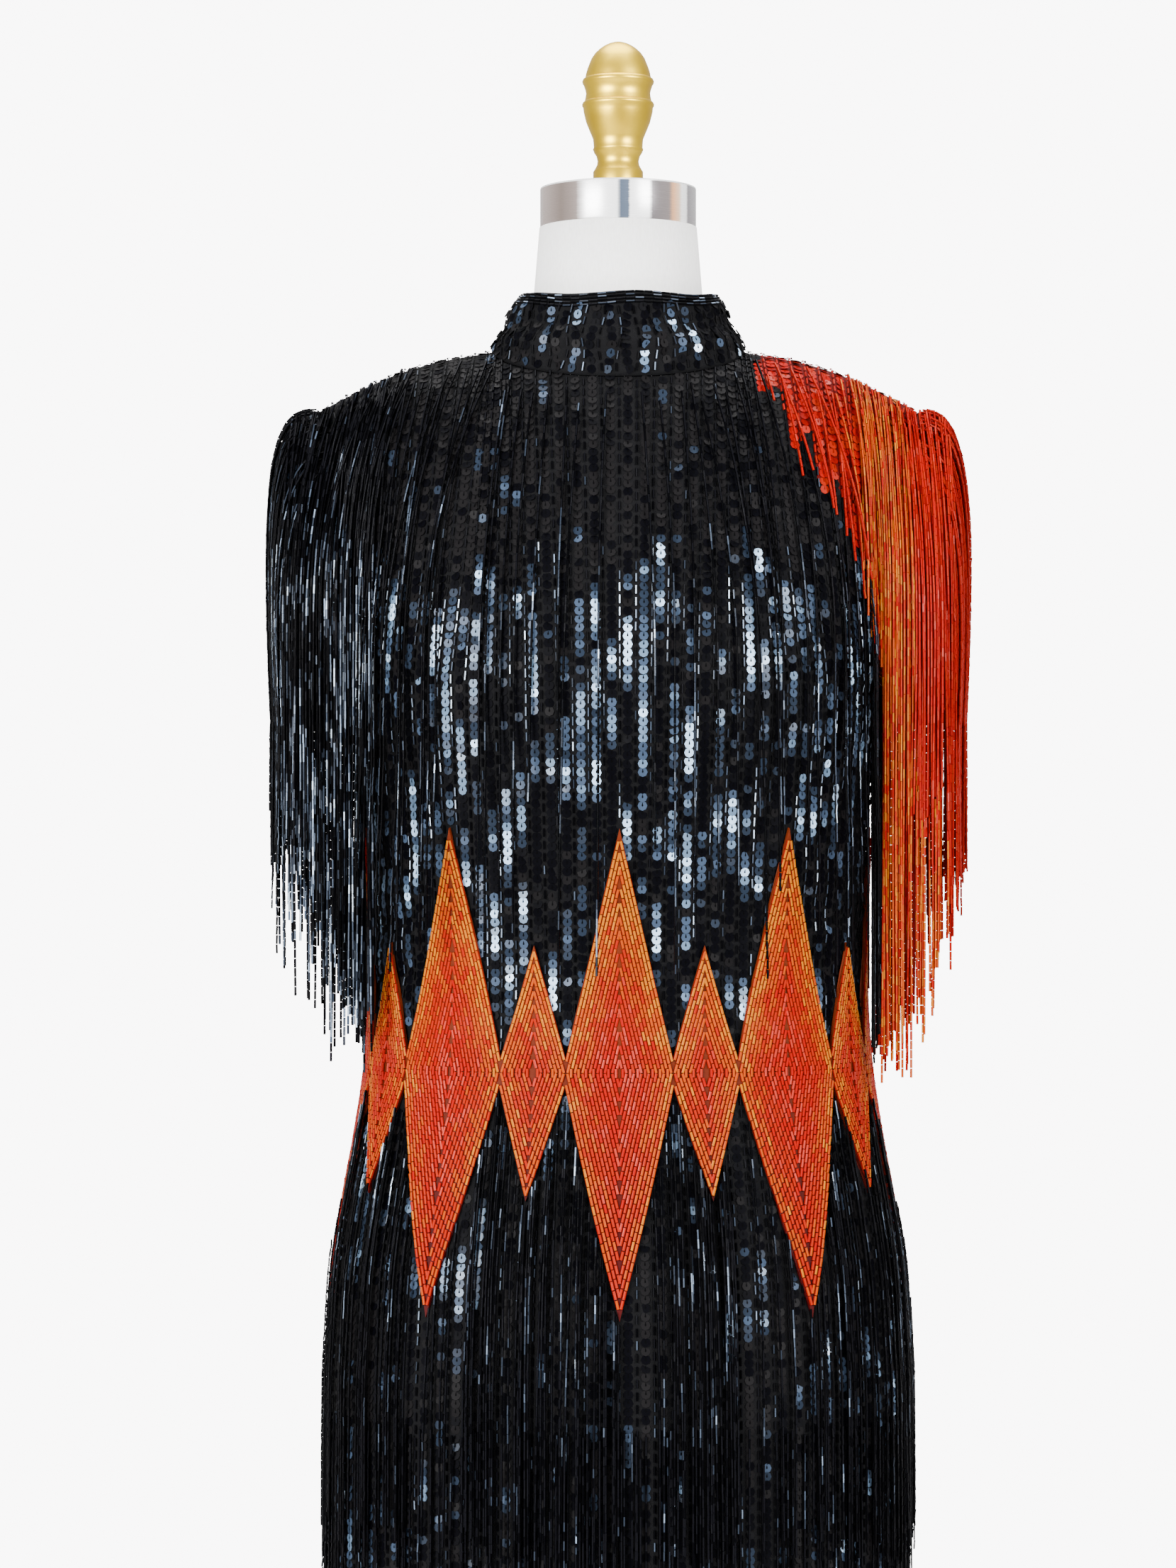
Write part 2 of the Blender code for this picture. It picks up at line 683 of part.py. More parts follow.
def form_body(name, material):
    """The limbless torso and its neck, one whole body with flat ends."""
    rings = [form_ring(z) for z in FORM_ROWS]
    for row in NECK_ROWS:
        ring = []
        for k in range(FORM_COLUMNS):
            turn = 2 * math.pi * k / FORM_COLUMNS
            depth = row["front"] if math.cos(turn) > 0 else row["back"]
            place = (row["half"] * math.sin(turn), -depth * math.cos(turn), row["height"])
            ring.append(Vector(place))
        rings.append(ring)
    bm = bmesh.new()
    rows = [[bm.verts.new(p) for p in ring] for ring in rings]
    for low, high in zip(rows, rows[1:]):
        for j in range(FORM_COLUMNS):
            k = (j + 1) % FORM_COLUMNS
            bm.faces.new((low[j], low[k], high[k], high[j]))
    bm.faces.new(rows[0][::-1])
    bm.faces.new(rows[-1])
    return add_object(name, bm, material)


def turned(name, profile, material, steps, centre=(0, 0), smooth_angle=50):
    """A solid of revolution about a level line's middle, from (radius, height) rows going up."""
    bm = bmesh.new()
    rows = []
    for radius, height in profile:
        if radius < 1e-6:
            rows.append([bm.verts.new((centre[0], centre[1], height))])
            continue
        ring = []
        for k in range(steps):
            turn = 2 * math.pi * k / steps
            place = (centre[0] + radius * math.cos(turn), centre[1] + radius * math.sin(turn), height)
            ring.append(bm.verts.new(place))
        rows.append(ring)
    for low, high in zip(rows, rows[1:]):
        for j in range(steps):
            k = (j + 1) % steps
            if len(high) == 1:
                bm.faces.new((low[j], low[k], high[0]))
            elif len(low) == 1:
                bm.faces.new((low[0], high[k], high[j]))
            else:
                bm.faces.new((low[j], low[k], high[k], high[j]))
    if len(rows[0]) > 1:
        bm.faces.new(rows[0][::-1])
    if len(rows[-1]) > 1:
        bm.faces.new(rows[-1])
    return add_object(name, bm, material, smooth_angle)


CAP_RADIUS = 49.5 * MM
CAP_HEIGHT = 25 * MM
CAP_EDGE = 1 * MM

# Finial's outline: radius and height above its foot, in millimetres, from the foot up
FINIAL = [
    (15.9, 0.0), (15.9, 10.2), (13.3, 14.8), (13.1, 17.3), (15.1, 22.2), (15.9, 24.7), (15.9, 30.9),
    (17.9, 35.8), (20.4, 42.0), (21.9, 48.2), (22.8, 53.1), (21.0, 57.2), (20.8, 61.2), (21.4, 64.2),
    (22.8, 67.6), (20.8, 71.0), (19.4, 76.0), (17.0, 82.1), (11.7, 88.3), (6.0, 91.7), (0.0, 92.9),
]

# Stand
POLE_RADIUS = 14 * MM
BASE_PROFILE = [(175, 0), (175, 8), (171, 11), (90, 17), (30, 21), (26, 28), (26, 50)]

# Buttons
BUTTON_RADIUS = 5 * MM
BUTTON_HEIGHTS = {"button_lower": 1.408, "button_upper": 1.426}


def ball(name, radius, x, y, z, material):
    """A small turned ball."""
    steps = 5
    profile = []
    for k in range(steps + 1):
        lean = -math.pi / 2 + math.pi * k / steps
        profile.append((radius * math.cos(lean), z + radius * math.sin(lean)))
    profile[0] = (0, z - radius)
    profile[-1] = (0, z + radius)
    return turned(name, profile, material, 8, centre=(x, y))


def build_dress(black, red, bead):
    """The sewn pieces of the dress."""
    panel("front", "front", -1, 1, PANEL_COLUMNS, black)
    panel("back_left", "back", 0, 1, PANEL_COLUMNS // 2, black)
    panel("back_right", "back", -1, 0, PANEL_COLUMNS // 2, black)
    collar("collar", black)
    sleeve("sleeve_left", 1, red)
    sleeve("sleeve_right", -1, black)
    border("band_front", "front", -1, 1, PANEL_COLUMNS, bead)
    border("band_back_left", "back", 0, 1, PANEL_COLUMNS // 2, bead)
    border("band_back_right", "back", -1, 0, PANEL_COLUMNS // 2, bead)


def build_fringe(black, red):
    """All the fringe, each strip with its strands as one body."""
    for tier, row in TIERS.items():
        reach, count = row["reach"], row["count"]
        body_fringe(f"fringe_{tier}_front", tier, "front", -reach, reach, count, black)
        body_fringe(f"fringe_{tier}_back_left", tier, "back", CENTRE_BACK, reach, count // 2, black)
        body_fringe(f"fringe_{tier}_back_right", tier, "back", -reach, -CENTRE_BACK, count // 2, black)
    sleeve_fringe("fringe_sleeve_left", 1, red)
    sleeve_fringe("fringe_sleeve_right", -1, black)


def build_form(white, chrome, gilt, steel, jet):
    """The dress form, its stand, and the buttons at the back of the collar."""
    form_body("form_body", white)
    foot = NECK_TOP + SEAM_GAP
    top = foot + CAP_HEIGHT
    cap = [
        (CAP_RADIUS - CAP_EDGE, foot),
        (CAP_RADIUS, foot + CAP_EDGE),
        (CAP_RADIUS, top - CAP_EDGE),
        (CAP_RADIUS - CAP_EDGE, top),
    ]
    turned("neck_cap", cap, chrome, 32, smooth_angle=40)
    outline = [(r * MM, top + SEAM_GAP + h * MM) for r, h in FINIAL]
    turned("finial", outline, gilt, 16)
    pole = [(POLE_RADIUS, 50 * MM + SEAM_GAP), (POLE_RADIUS, FORM_BOTTOM - SEAM_GAP)]
    turned("pole", pole, steel, 16, smooth_angle=40)
    turned("base", [(r * MM, h * MM) for r, h in BASE_PROFILE], steel, 32, smooth_angle=35)
    for name, height in BUTTON_HEIGHTS.items():
        share = (height - NECK_POINT) / (COLLAR_TOP - NECK_POINT)
        behind = collar_point(math.pi, share).y
        ball(name, BUTTON_RADIUS, 0, behind + BUTTON_RADIUS + SEAM_GAP, height, jet)


def main():
    for ob in list(bpy.data.objects):
        bpy.data.objects.remove(ob, do_unlink=True)
    black = colour("black_cloth", (0.012, 0.014, 0.02), 0.35)
    red = colour("red_cloth", (0.75, 0.06, 0.02), 0.35)
    bead = colour("orange_beads", (0.85, 0.22, 0.03), 0.25)
    white = colour("white_cover", (0.9, 0.89, 0.86), 0.7)
    chrome = colour("polished_metal", (0.8, 0.8, 0.8), 0.15, 1.0)
    gilt = colour("gilt", (0.62, 0.45, 0.19), 0.4, 0.8)
    steel = colour("painted_steel", (0.75, 0.75, 0.74), 0.4, 0.3)
    jet = colour("jet", (0.01, 0.01, 0.012), 0.2)
    build_dress(black, red, bead)
    build_fringe(black, red)
    build_form(white, chrome, gilt, steel, jet)


main()
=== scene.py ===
# %% [markdown]
# # A fringe dress on its dress form
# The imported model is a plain, solid dress: walls, bars of fringe and a turned stand. It is loaded
# first and never moved. Each step below lays the real cloth, beads, sequins and strings over one
# of its solids, in the same place and in metres, so that what MuJoCo feels and what the eye sees
# stay one object.

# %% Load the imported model
import json
import math

import bmesh
import bpy
import numpy as np
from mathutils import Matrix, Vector

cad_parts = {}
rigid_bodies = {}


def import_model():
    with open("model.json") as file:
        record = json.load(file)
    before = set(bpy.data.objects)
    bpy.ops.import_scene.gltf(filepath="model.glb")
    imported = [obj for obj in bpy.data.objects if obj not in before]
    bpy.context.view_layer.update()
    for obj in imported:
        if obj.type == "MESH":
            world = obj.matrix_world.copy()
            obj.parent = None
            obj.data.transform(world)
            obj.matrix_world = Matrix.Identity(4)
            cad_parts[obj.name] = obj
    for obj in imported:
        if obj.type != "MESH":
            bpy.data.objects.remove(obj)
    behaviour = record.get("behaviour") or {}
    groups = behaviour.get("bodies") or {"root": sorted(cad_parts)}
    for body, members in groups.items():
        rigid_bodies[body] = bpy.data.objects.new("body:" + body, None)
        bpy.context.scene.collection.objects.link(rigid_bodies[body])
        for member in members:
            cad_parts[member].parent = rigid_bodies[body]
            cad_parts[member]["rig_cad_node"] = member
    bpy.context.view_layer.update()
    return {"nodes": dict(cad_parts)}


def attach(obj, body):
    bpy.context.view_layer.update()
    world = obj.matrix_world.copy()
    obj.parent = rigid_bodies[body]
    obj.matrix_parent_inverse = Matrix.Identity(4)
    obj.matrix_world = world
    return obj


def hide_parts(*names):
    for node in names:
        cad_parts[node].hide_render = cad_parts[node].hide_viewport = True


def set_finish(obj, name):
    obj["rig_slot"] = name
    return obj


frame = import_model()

MM = 0.001
FRONT, BACK = -1, 1
rng = np.random.default_rng(11)
print("nodes", len(frame["nodes"]))

# %% [markdown]
# ## The body of the dress
# A dressmaker keeps a body as a few measured sections. Here they are rows of height, half width,
# and depth to the front and the back. A smooth curve runs through the rows, so the same table
# gives the cloth, every bead on it and every string that hangs off it. The solids were made from
# the same numbers, which is why nothing has to be fitted by eye.

# %% Measured sections
HEM = 420 * MM
UNDERARM = 1190 * MM
NECK_POINT = 1400 * MM
COLLAR_TOP = 1437 * MM
NECK_TOP = 1479 * MM
BORDER_MIDDLE = 950 * MM
NECK_HALF_WIDTH = 80 * MM
SHOULDER_HALF_WIDTH = 190 * MM
SHOULDER_SLOPE = 0.344
SHOULDER_EASE = 12 * MM
SHOULDER_PAD = 7 * MM
SHOULDER_ROUNDING = 100 * MM
ARMHOLE_INSET = 12 * MM
NECK_SHARE = 0.42
FRONT_NECK_DROP = 22 * MM
BACK_NECK_DROP = 8 * MM
SEAM_GAP = 0.3 * MM
BOXINESS = 0.35

SECTIONS = [
    (0.420, 0.183, 0.118, 0.128), (0.600, 0.184, 0.119, 0.130), (0.745, 0.183, 0.118, 0.131),
    (0.785, 0.181, 0.116, 0.131), (0.826, 0.178, 0.113, 0.129), (0.870, 0.171, 0.109, 0.124),
    (0.902, 0.165, 0.106, 0.118), (0.949, 0.158, 0.103, 0.110), (1.000, 0.155, 0.102, 0.104),
    (1.060, 0.156, 0.108, 0.103), (1.120, 0.159, 0.120, 0.106), (1.165, 0.162, 0.128, 0.110),
    (1.190, 0.163, 0.129, 0.112), (1.200, 0.167, 0.128, 0.112), (1.220, 0.171, 0.125, 0.112),
    (1.250, 0.175, 0.118, 0.111), (1.300, 0.182, 0.100, 0.106), (1.350, 0.198, 0.086, 0.096),
    (1.400, 0.215, 0.078, 0.078),
]
HEIGHTS = np.array([row[0] for row in SECTIONS])


def smooth_column(values):
    """A function of height that runs smoothly through one column of the sections."""
    up = np.append(np.arange(1, len(HEIGHTS)), len(HEIGHTS) - 1)
    down = np.insert(np.arange(len(HEIGHTS) - 1), 0, 0)
    slopes = (values[up] - values[down]) / (HEIGHTS[up] - HEIGHTS[down])

    def at(z):
        z = np.clip(z, HEIGHTS[0], HEIGHTS[-1])
        i = np.clip(np.searchsorted(HEIGHTS, z, side="right") - 1, 0, len(HEIGHTS) - 2)
        step = HEIGHTS[i + 1] - HEIGHTS[i]
        t = (z - HEIGHTS[i]) / step
        rise = (2 * t**3 - 3 * t**2 + 1) * values[i] + (3 * t**2 - 2 * t**3) * values[i + 1]
        return rise + ((t**3 - 2 * t**2 + t) * slopes[i] + (t**3 - t**2) * slopes[i + 1]) * step

    return at


half_width = smooth_column(np.array([row[1] for row in SECTIONS]))
front_depth = smooth_column(np.array([row[2] for row in SECTIONS]))
back_depth = smooth_column(np.array([row[3] for row in SECTIONS]))
print("half width at the waist", round(float(half_width(1.0)), 3))

# %% [markdown]
# ## A point on the cloth
# The depth at any place is the section's depth, shrunk towards the side seams and rolled over at
# the shoulder's ridge. A soft pad lifts the middle of each shoulder a few millimetres above the
# solid's ridge, which squares it. The way out of the cloth is the slope of that same formula. The
# cloth also sinks a little behind the smooth form in soft pulls, since real cloth is never quite
# taut, and the beads must sink with it.

# %% Points and directions on the body
WAIST = 1.02
CHEST = 1.27
SKIRT_WAVES_TOP = 0.80


def shoulder_line(x):
    """Height of the shoulder's ridge at a distance from the middle, lifted by a soft pad."""
    at_neck = math.hypot(NECK_HALF_WIDTH, SHOULDER_EASE)
    out = np.clip((np.abs(x) - NECK_HALF_WIDTH) / (SHOULDER_HALF_WIDTH - NECK_HALF_WIDTH), 0, 1)
    ridge = NECK_POINT - SHOULDER_SLOPE * (np.hypot(x, SHOULDER_EASE) - at_neck)
    return ridge + SHOULDER_PAD * np.sin(np.pi * out)


def depth_squared(x, z, side):
    """Square of the cloth's distance in front of or behind the side seams."""
    q = (x / half_width(z)) ** 2
    below = np.minimum((shoulder_line(x) - z) / SHOULDER_ROUNDING, 1)
    depth = np.where(np.asarray(side) < 0, front_depth(z), back_depth(z))
    return depth**2 * (1 - q) * (1 + BOXINESS * q) * (1 - (1 - below) ** 2)


def unit(v):
    return v / np.maximum(np.linalg.norm(v, axis=-1, keepdims=True), 1e-9)


def crease(x, z):
    """How far the cloth sinks behind the smooth form: pulls at the waist, waves in the skirt."""
    beside = np.clip(np.abs(x) / 0.12, 0, 1) ** 2
    waist = np.exp(-(((z - WAIST) / 0.085) ** 2))
    pulls = beside * waist * (1 + np.sin((z + np.abs(x) * 0.6) * 2 * np.pi / 0.036))
    skirt = np.clip((SKIRT_WAVES_TOP - z) / 0.2, 0, 1) * (1 + np.sin(x * 2 * np.pi / 0.085 + 0.6))
    level = np.exp(-(((z - CHEST) / 0.05) ** 2))
    chest = level * (1 + np.sin(np.abs(x) * 2 * np.pi / 0.07 + z * 30))
    return (0.9 * pulls + 0.9 * skirt + 0.5 * chest) * MM


def on_body(x, z, side, off=0.0):
    """Points on the cloth, moved out by a distance, and the directions out of it."""
    e = 1e-5
    x, z = np.broadcast_arrays(np.asarray(x, float), np.asarray(z, float))
    y = side * np.sqrt(np.maximum(depth_squared(x, z, side), 0))
    gx = depth_squared(x + e, z, side) - depth_squared(x - e, z, side)
    gz = depth_squared(x, z + e, side) - depth_squared(x, z - e, side)
    out = unit(np.stack([-gx / (2 * e), 2 * y, -gz / (2 * e)], axis=-1))
    points = np.stack([x, y + side * SEAM_GAP / 2, z], axis=-1)
    lift = off - crease(x, z)
    return points + out * lift[..., None], out


def neckline(u, side):
    """Where a column ends: on the neckline, or past it on the shoulder seam."""
    drop = FRONT_NECK_DROP if side < 0 else BACK_NECK_DROP
    u = np.abs(u)
    turn = np.minimum(u / NECK_SHARE, 1) * math.pi / 2
    past = np.clip((u - NECK_SHARE) / (1 - NECK_SHARE), 0, 1)
    x = NECK_HALF_WIDTH + (SHOULDER_HALF_WIDTH - NECK_HALF_WIDTH) * past
    on_neck = u <= NECK_SHARE
    high = np.where(on_neck, NECK_POINT - drop * np.cos(turn), shoulder_line(x))
    return np.where(on_neck, NECK_HALF_WIDTH * np.sin(turn), x), high


def below_arm(u, z):
    """x of a column at a height below the underarm."""
    return np.sign(u) * half_width(z) * np.sin(np.abs(u) * np.pi / 2)


def above_arm(u, share, side):
    """x and z of a column at a share of the way from the underarm to its top."""
    x_top, z_top = neckline(u, side)
    x_low = half_width(UNDERARM) * np.sin(np.abs(u) * np.pi / 2)
    inset = ARMHOLE_INSET * np.sin(np.pi * share) * np.abs(u) ** 6
    x = x_low + (x_top - x_low) * share - inset
    return np.sign(u) * x, UNDERARM + (z_top - UNDERARM) * share


def even_share(u, side, height=BORDER_MIDDLE):
    """Column share whose distance round the body is u of the way from the middle to the seam."""
    turn = np.linspace(0, np.pi / 2, 200)
    depth = front_depth(height) if side < 0 else back_depth(height)
    x = half_width(height) * np.sin(turn)
    y = depth * np.cos(turn) * np.sqrt(1 + BOXINESS * np.sin(turn) ** 2)
    length = np.concatenate([[0], np.cumsum(np.hypot(np.diff(x), np.diff(y)))])
    return np.sign(u) * np.interp(np.abs(u) * length[-1], length, turn / (np.pi / 2))


def column_line(u, side):
    """x and z along one column, from the hem to its top, in small steps."""
    low = np.linspace(HEM, UNDERARM, 300)
    share = np.linspace(0, 1, 140)[1:]
    x, z = above_arm(np.full_like(share, u), share, side)
    return np.concatenate([below_arm(np.full_like(low, u), low), x]), np.concatenate([low, z])


x, z = column_line(0.5, FRONT)
print("a column runs from", round(float(z[0]), 3), "to", round(float(z[-1]), 3))

# %% [markdown]
# ## Materials as expressions
# Blender's shader nodes are easier to read as sums. One small class wraps a socket, so that
# `1 - mask` adds the Math node by itself. Every finish starts from a Principled shader, and only
# what changes over the surface is fed by nodes. A value that is the same all over is set on the
# socket, because the export would lose it otherwise.

# %% The shader helper


class Signal:
    """A value or colour on its way through a finish's nodes."""

    def __init__(self, finish, socket):
        self.finish = finish
        self.socket = socket

    def maths(self, operation, first, second=0.0):
        return self.finish.maths(operation, first, second)

    def __add__(self, other):
        return self.maths("ADD", self, other)

    __radd__ = __add__

    def __sub__(self, other):
        return self.maths("SUBTRACT", self, other)

    def __rsub__(self, other):
        return self.maths("SUBTRACT", other, self)

    def __mul__(self, other):
        return self.maths("MULTIPLY", self, other)

    __rmul__ = __mul__


class Finish:
    """One material, with its Principled shader and its nodes."""

    def __init__(self, name, colour, roughness=0.5, metallic=0.0, coat=0.0, gloss=0.5):
        self.material = bpy.data.materials.new(name)
        self.material.use_nodes = True
        self.tree = self.material.node_tree
        self.shader = self.tree.nodes["Principled BSDF"]
        self.feed("Base Color", (*colour, 1))
        self.feed("Roughness", roughness)
        self.feed("Metallic", metallic)
        self.feed("Coat Weight", coat)
        self.feed("Specular IOR Level", gloss)

    def node(self, kind, settings=None, values=None, output=0):
        """Adds a node: its settings first, then the values or links of its sockets."""
        made = self.tree.nodes.new(kind)
        for key, value in (settings or {}).items():
            if key == "stops":
                elements = made.color_ramp.elements
                for place, _ in value[1:-1]:
                    elements.new(place)
                elements[0].position, elements[-1].position = value[0][0], value[-1][0]
                for element, (_, colour) in zip(elements, value):
                    element.color = (*colour, 1)
            else:
                setattr(made, key, value)
        for key, value in (values or {}).items():
            if isinstance(value, Signal):
                self.tree.links.new(value.socket, made.inputs[key])
            else:
                made.inputs[key].default_value = value
        return Signal(self, made.outputs[output])

    def maths(self, operation, first, second=0.0):
        return self.node("ShaderNodeMath", {"operation": operation}, {0: first, 1: second})

    def feed(self, socket, value):
        """Sets or links a socket of the shader."""
        if isinstance(value, Signal):
            self.tree.links.new(value.socket, self.shader.inputs[socket])
        else:
            self.shader.inputs[socket].default_value = value

    def place(self, source="Object"):
        """The point on the piece, in metres, or its UV."""
        return self.node("ShaderNodeTexCoord", output=source)

    def axis(self, letter):
        """X, Y or Z of the point on the piece, in metres."""
        return self.node("ShaderNodeSeparateXYZ", values={0: self.place()}, output="XYZ".index(letter))

    def noise(self, scale, detail=2.0, stretch=None):
        """Soft noise from 0 to 1."""
        where = self.place()
        if stretch:
            where = self.node("ShaderNodeMapping", values={"Vector": where, "Scale": stretch})
        values = {"Vector": where, "Scale": scale, "Detail": detail}
        return self.node("ShaderNodeTexNoise", values=values)

    def ramp(self, value, stops):
        return self.node("ShaderNodeValToRGB", {"stops": stops}, {0: value})

    def mix(self, share, first, second):
        """A colour between two, by a share from 0 to 1."""
        values = {0: share, 6: first, 7: second}
        return self.node("ShaderNodeMix", {"data_type": "RGBA"}, values, output=2)

    def bump(self, height, distance, strength=1.0):
        raised = {"Height": height, "Distance": distance, "Strength": strength}
        self.feed("Normal", self.node("ShaderNodeBump", values=raised))


print("shader helper ready")

# %% [markdown]
# ## Glass beads and sequins
# Beads and sequins are far too small for a picture to follow, so each one gets a plain finish from
# a short list that runs from black to bright, and the list is dealt out bead by bead. Most are
# nearly black. The lighter finishes, from slate through steel blue to a near-white flash, are
# painted glints and sheen: colour that stands in for the light a bead catches. A bugle's sides take
# a dark finish that is painted shade, and coral among the reds is a painted highlight. Their
# roughness still drifts with noise, as foil and glass do.

# %% Finishes for beads and sequins


def small_finish(name, colour, roughness, gloss):
    """A bead's or sequin's finish: one colour, with a roughness that drifts from bead to bead."""
    finish = Finish(name, colour, roughness, gloss=gloss)
    finish.feed("Roughness", finish.noise(140, 1.0) * 0.2 + (roughness - 0.1))
    return finish.material


# From slate to flash these are painted glints and sheen; the eye is the sequin's dark hole.
SEQUIN = [
    small_finish("sequin_black", (0.0010, 0.0010, 0.0018), 0.45, 0.02),
    small_finish("sequin_charcoal", (0.0050, 0.0046, 0.0050), 0.45, 0.04),
    small_finish("sequin_slate", (0.0110, 0.0170, 0.0290), 0.38, 0.06),
    small_finish("sequin_steel", (0.030, 0.048, 0.082), 0.36, 0.15),
    small_finish("sequin_pale", (0.085, 0.140, 0.215), 0.32, 0.3),
    small_finish("sequin_flash", (0.44, 0.64, 0.88), 0.25, 0.5),
    small_finish("sequin_eye", (0.0006, 0.0006, 0.0008), 0.6, 0.02),
]
# From slate to flash these are painted glints and sheen; the last one is painted shade on the bugles'
# sides.
JET = [
    small_finish("bugle_black", (0.0008, 0.0008, 0.0012), 0.30, 0.02),
    small_finish("bugle_charcoal", (0.0028, 0.0028, 0.0040), 0.30, 0.04),
    small_finish("bugle_slate", (0.014, 0.019, 0.029), 0.28, 0.1),
    small_finish("bugle_steel", (0.040, 0.055, 0.082), 0.26, 0.2),
    small_finish("bugle_pale", (0.15, 0.20, 0.28), 0.24, 0.3),
    small_finish("bugle_flash", (0.58, 0.72, 0.88), 0.22, 0.5),
    small_finish("bugle_shade", (0.0006, 0.0006, 0.0009), 0.4, 0.03),
]
# Coral is a painted highlight, and the last one is painted shade on the beads' sides.
FLAME = [
    small_finish("bead_amber", (0.38, 0.105, 0.0006), 0.28, 0.08),
    small_finish("bead_orange", (0.32, 0.040, 0.0003), 0.28, 0.06),
    small_finish("bead_vermilion", (0.28, 0.0085, 0.0004), 0.28, 0.06),
    small_finish("bead_red", (0.28, 0.0010, 0.0003), 0.30, 0.03),
    small_finish("bead_garnet", (0.18, 0.0008, 0.0003), 0.30, 0.03),
    small_finish("bead_coral", (0.34, 0.018, 0.010), 0.26, 0.12),
    small_finish("bead_shade", (0.155, 0.0025, 0.0003), 0.5, 0.02),
]
print("bead finishes", len(SEQUIN) + len(JET) + len(FLAME))

# %% [markdown]
# ## Cloth finishes
# The cloth under the beads is fine and plain, black on most of the dress and red on one shoulder.
# It shows only in the gaps, so two crossed waves are enough for its threads. They read the UV map,
# which is in metres along the threads, and follow the cloth wherever it bends.

# %% Finishes for cloth
THREAD_SCALE = 400.0


def cloth_finish(name, dark, light):
    """Fine plain-woven cloth: threads as two crossed waves in its own UV, which is in metres."""
    finish = Finish(name, dark, 0.75, gloss=0.1)
    waves = []
    for way in "XY":
        bands = {"wave_type": "BANDS", "bands_direction": way}
        values = {"Vector": finish.place("UV"), "Scale": THREAD_SCALE}
        waves.append(finish.node("ShaderNodeTexWave", bands, values))
    threads = waves[0] * waves[1]
    finish.feed("Base Color", finish.mix(threads * 0.6, (*dark, 1), (*light, 1)))
    finish.bump(threads, 0.0002, 0.6)
    return finish.material


black_cloth = cloth_finish("cloth_black", (0.0010, 0.0010, 0.0014), (0.0028, 0.0028, 0.0036))
red_cloth = cloth_finish("cloth_red", (0.08, 0.0008, 0.0004), (0.15, 0.0015, 0.0006))
print("cloth finishes", black_cloth.name, red_cloth.name)

# %% [markdown]
# ## The cloth
# Each panel is one grid. Its left-right lines follow the body's columns and its up-down lines go
# from the hem to the underarm and on to the neckline, so it is cut as the solid is, only finer and
# thinner. Each vertex takes its place from the body's formula, and a Solidify modifier gives the
# cloth its thickness on the inside. The UV map is the pattern piece laid flat, in metres.

# %% Cloth panels
CLOTH_THICK = 0.9 * MM
LOWER_SHARE = 0.72
PANEL_REACH = 0.24


def finish_piece(name, mesh, materials, smooth=True):
    """Links a mesh as a piece that rides on the stand, with its materials."""
    for material in materials:
        mesh.materials.append(material)
    if smooth:
        mesh.shade_smooth()
    piece = bpy.data.objects.new(name, mesh)
    bpy.context.scene.collection.objects.link(piece)
    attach(piece, "root")
    return piece


def mesh_from(name, bm):
    mesh = bpy.data.meshes.new(name)
    bm.to_mesh(mesh)
    bm.free()
    return mesh


def solidify(piece, thickness):
    """Thickness on the inner side, so that the outside stays where it is."""
    wall = piece.modifiers.new("thickness", "SOLIDIFY")
    wall.thickness = thickness
    wall.offset = -1
    return piece


def flat_area(mesh):
    return sum(face.area for face in mesh.polygons)


def cloth_grid(columns, rows):
    """A grid to bend into cloth, and its vertices' places from -1 to 1 across and up."""
    bm = bmesh.new()
    bm.loops.layers.uv.new("cut")
    bmesh.ops.create_grid(bm, x_segments=columns, y_segments=rows, size=1)
    places = np.array([v.co[:2] for v in bm.verts])
    return bm, places[:, 0], places[:, 1]


def bend_cloth(bm, points, across, up):
    """Moves the grid to its points and lays its UV map flat, in metres."""
    flat = {}
    for vert, point, place in zip(bm.verts, points, zip(across, up)):
        vert.co = point
        flat[vert] = place
    uv = bm.loops.layers.uv["cut"]
    for face in bm.faces:
        for loop in face.loops:
            loop[uv].uv = flat[loop.vert]


def cloth_panel(name, side, start, stop, columns, rows, material):
    """A panel from a grid: across is the column share, up is the way from the hem to the top."""
    bm, grid_x, grid_y = cloth_grid(columns, rows)
    middle, reach = (start + stop) / 2, (stop - start) / 2
    u = middle - side * grid_x * reach
    v = grid_y / 2 + 0.5
    low_z = HEM + (UNDERARM - HEM) * np.minimum(v / LOWER_SHARE, 1)
    high_x, high_z = above_arm(u, np.clip((v - LOWER_SHARE) / (1 - LOWER_SHARE), 0, 1), side)
    is_low = v <= LOWER_SHARE
    x = np.where(is_low, below_arm(u, low_z), high_x)
    z = np.where(is_low, low_z, high_z)
    points, _ = on_body(x, z, side)
    bend_cloth(bm, points, u * PANEL_REACH, points[:, 2])
    piece = finish_piece(name, mesh_from(name, bm), [material])
    print(name, "area", round(flat_area(piece.data), 3))
    return solidify(piece, CLOTH_THICK)


cloth_front = cloth_panel("cloth_front", FRONT, -1, 1, 72, 120, black_cloth)
cloth_back_left = cloth_panel("cloth_back_left", BACK, 0, 1, 36, 120, black_cloth)
cloth_back_right = cloth_panel("cloth_back_right", BACK, -1, 0, 36, 120, black_cloth)
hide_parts("front")
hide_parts("back_left")
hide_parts("back_right")

# %% [markdown]
# ## Thousands of small things
# A sequin is one small disc with a dark eye. A bugle bead is a short glass tube whose glossy
# highlight runs along its front, so its front face is a narrow strip with a finish of its own, a
# painted highlight where that finish is bright, between two slanted sides in a dark finish that is
# painted shade. Each is modelled once, with as few faces as its size allows. Copies are then
# set along lines with arrays, and each copy gets a place, three directions, and one finish from
# the list. All copies of one kind on one panel are a single mesh, because ten thousand objects
# would be slow to draw.

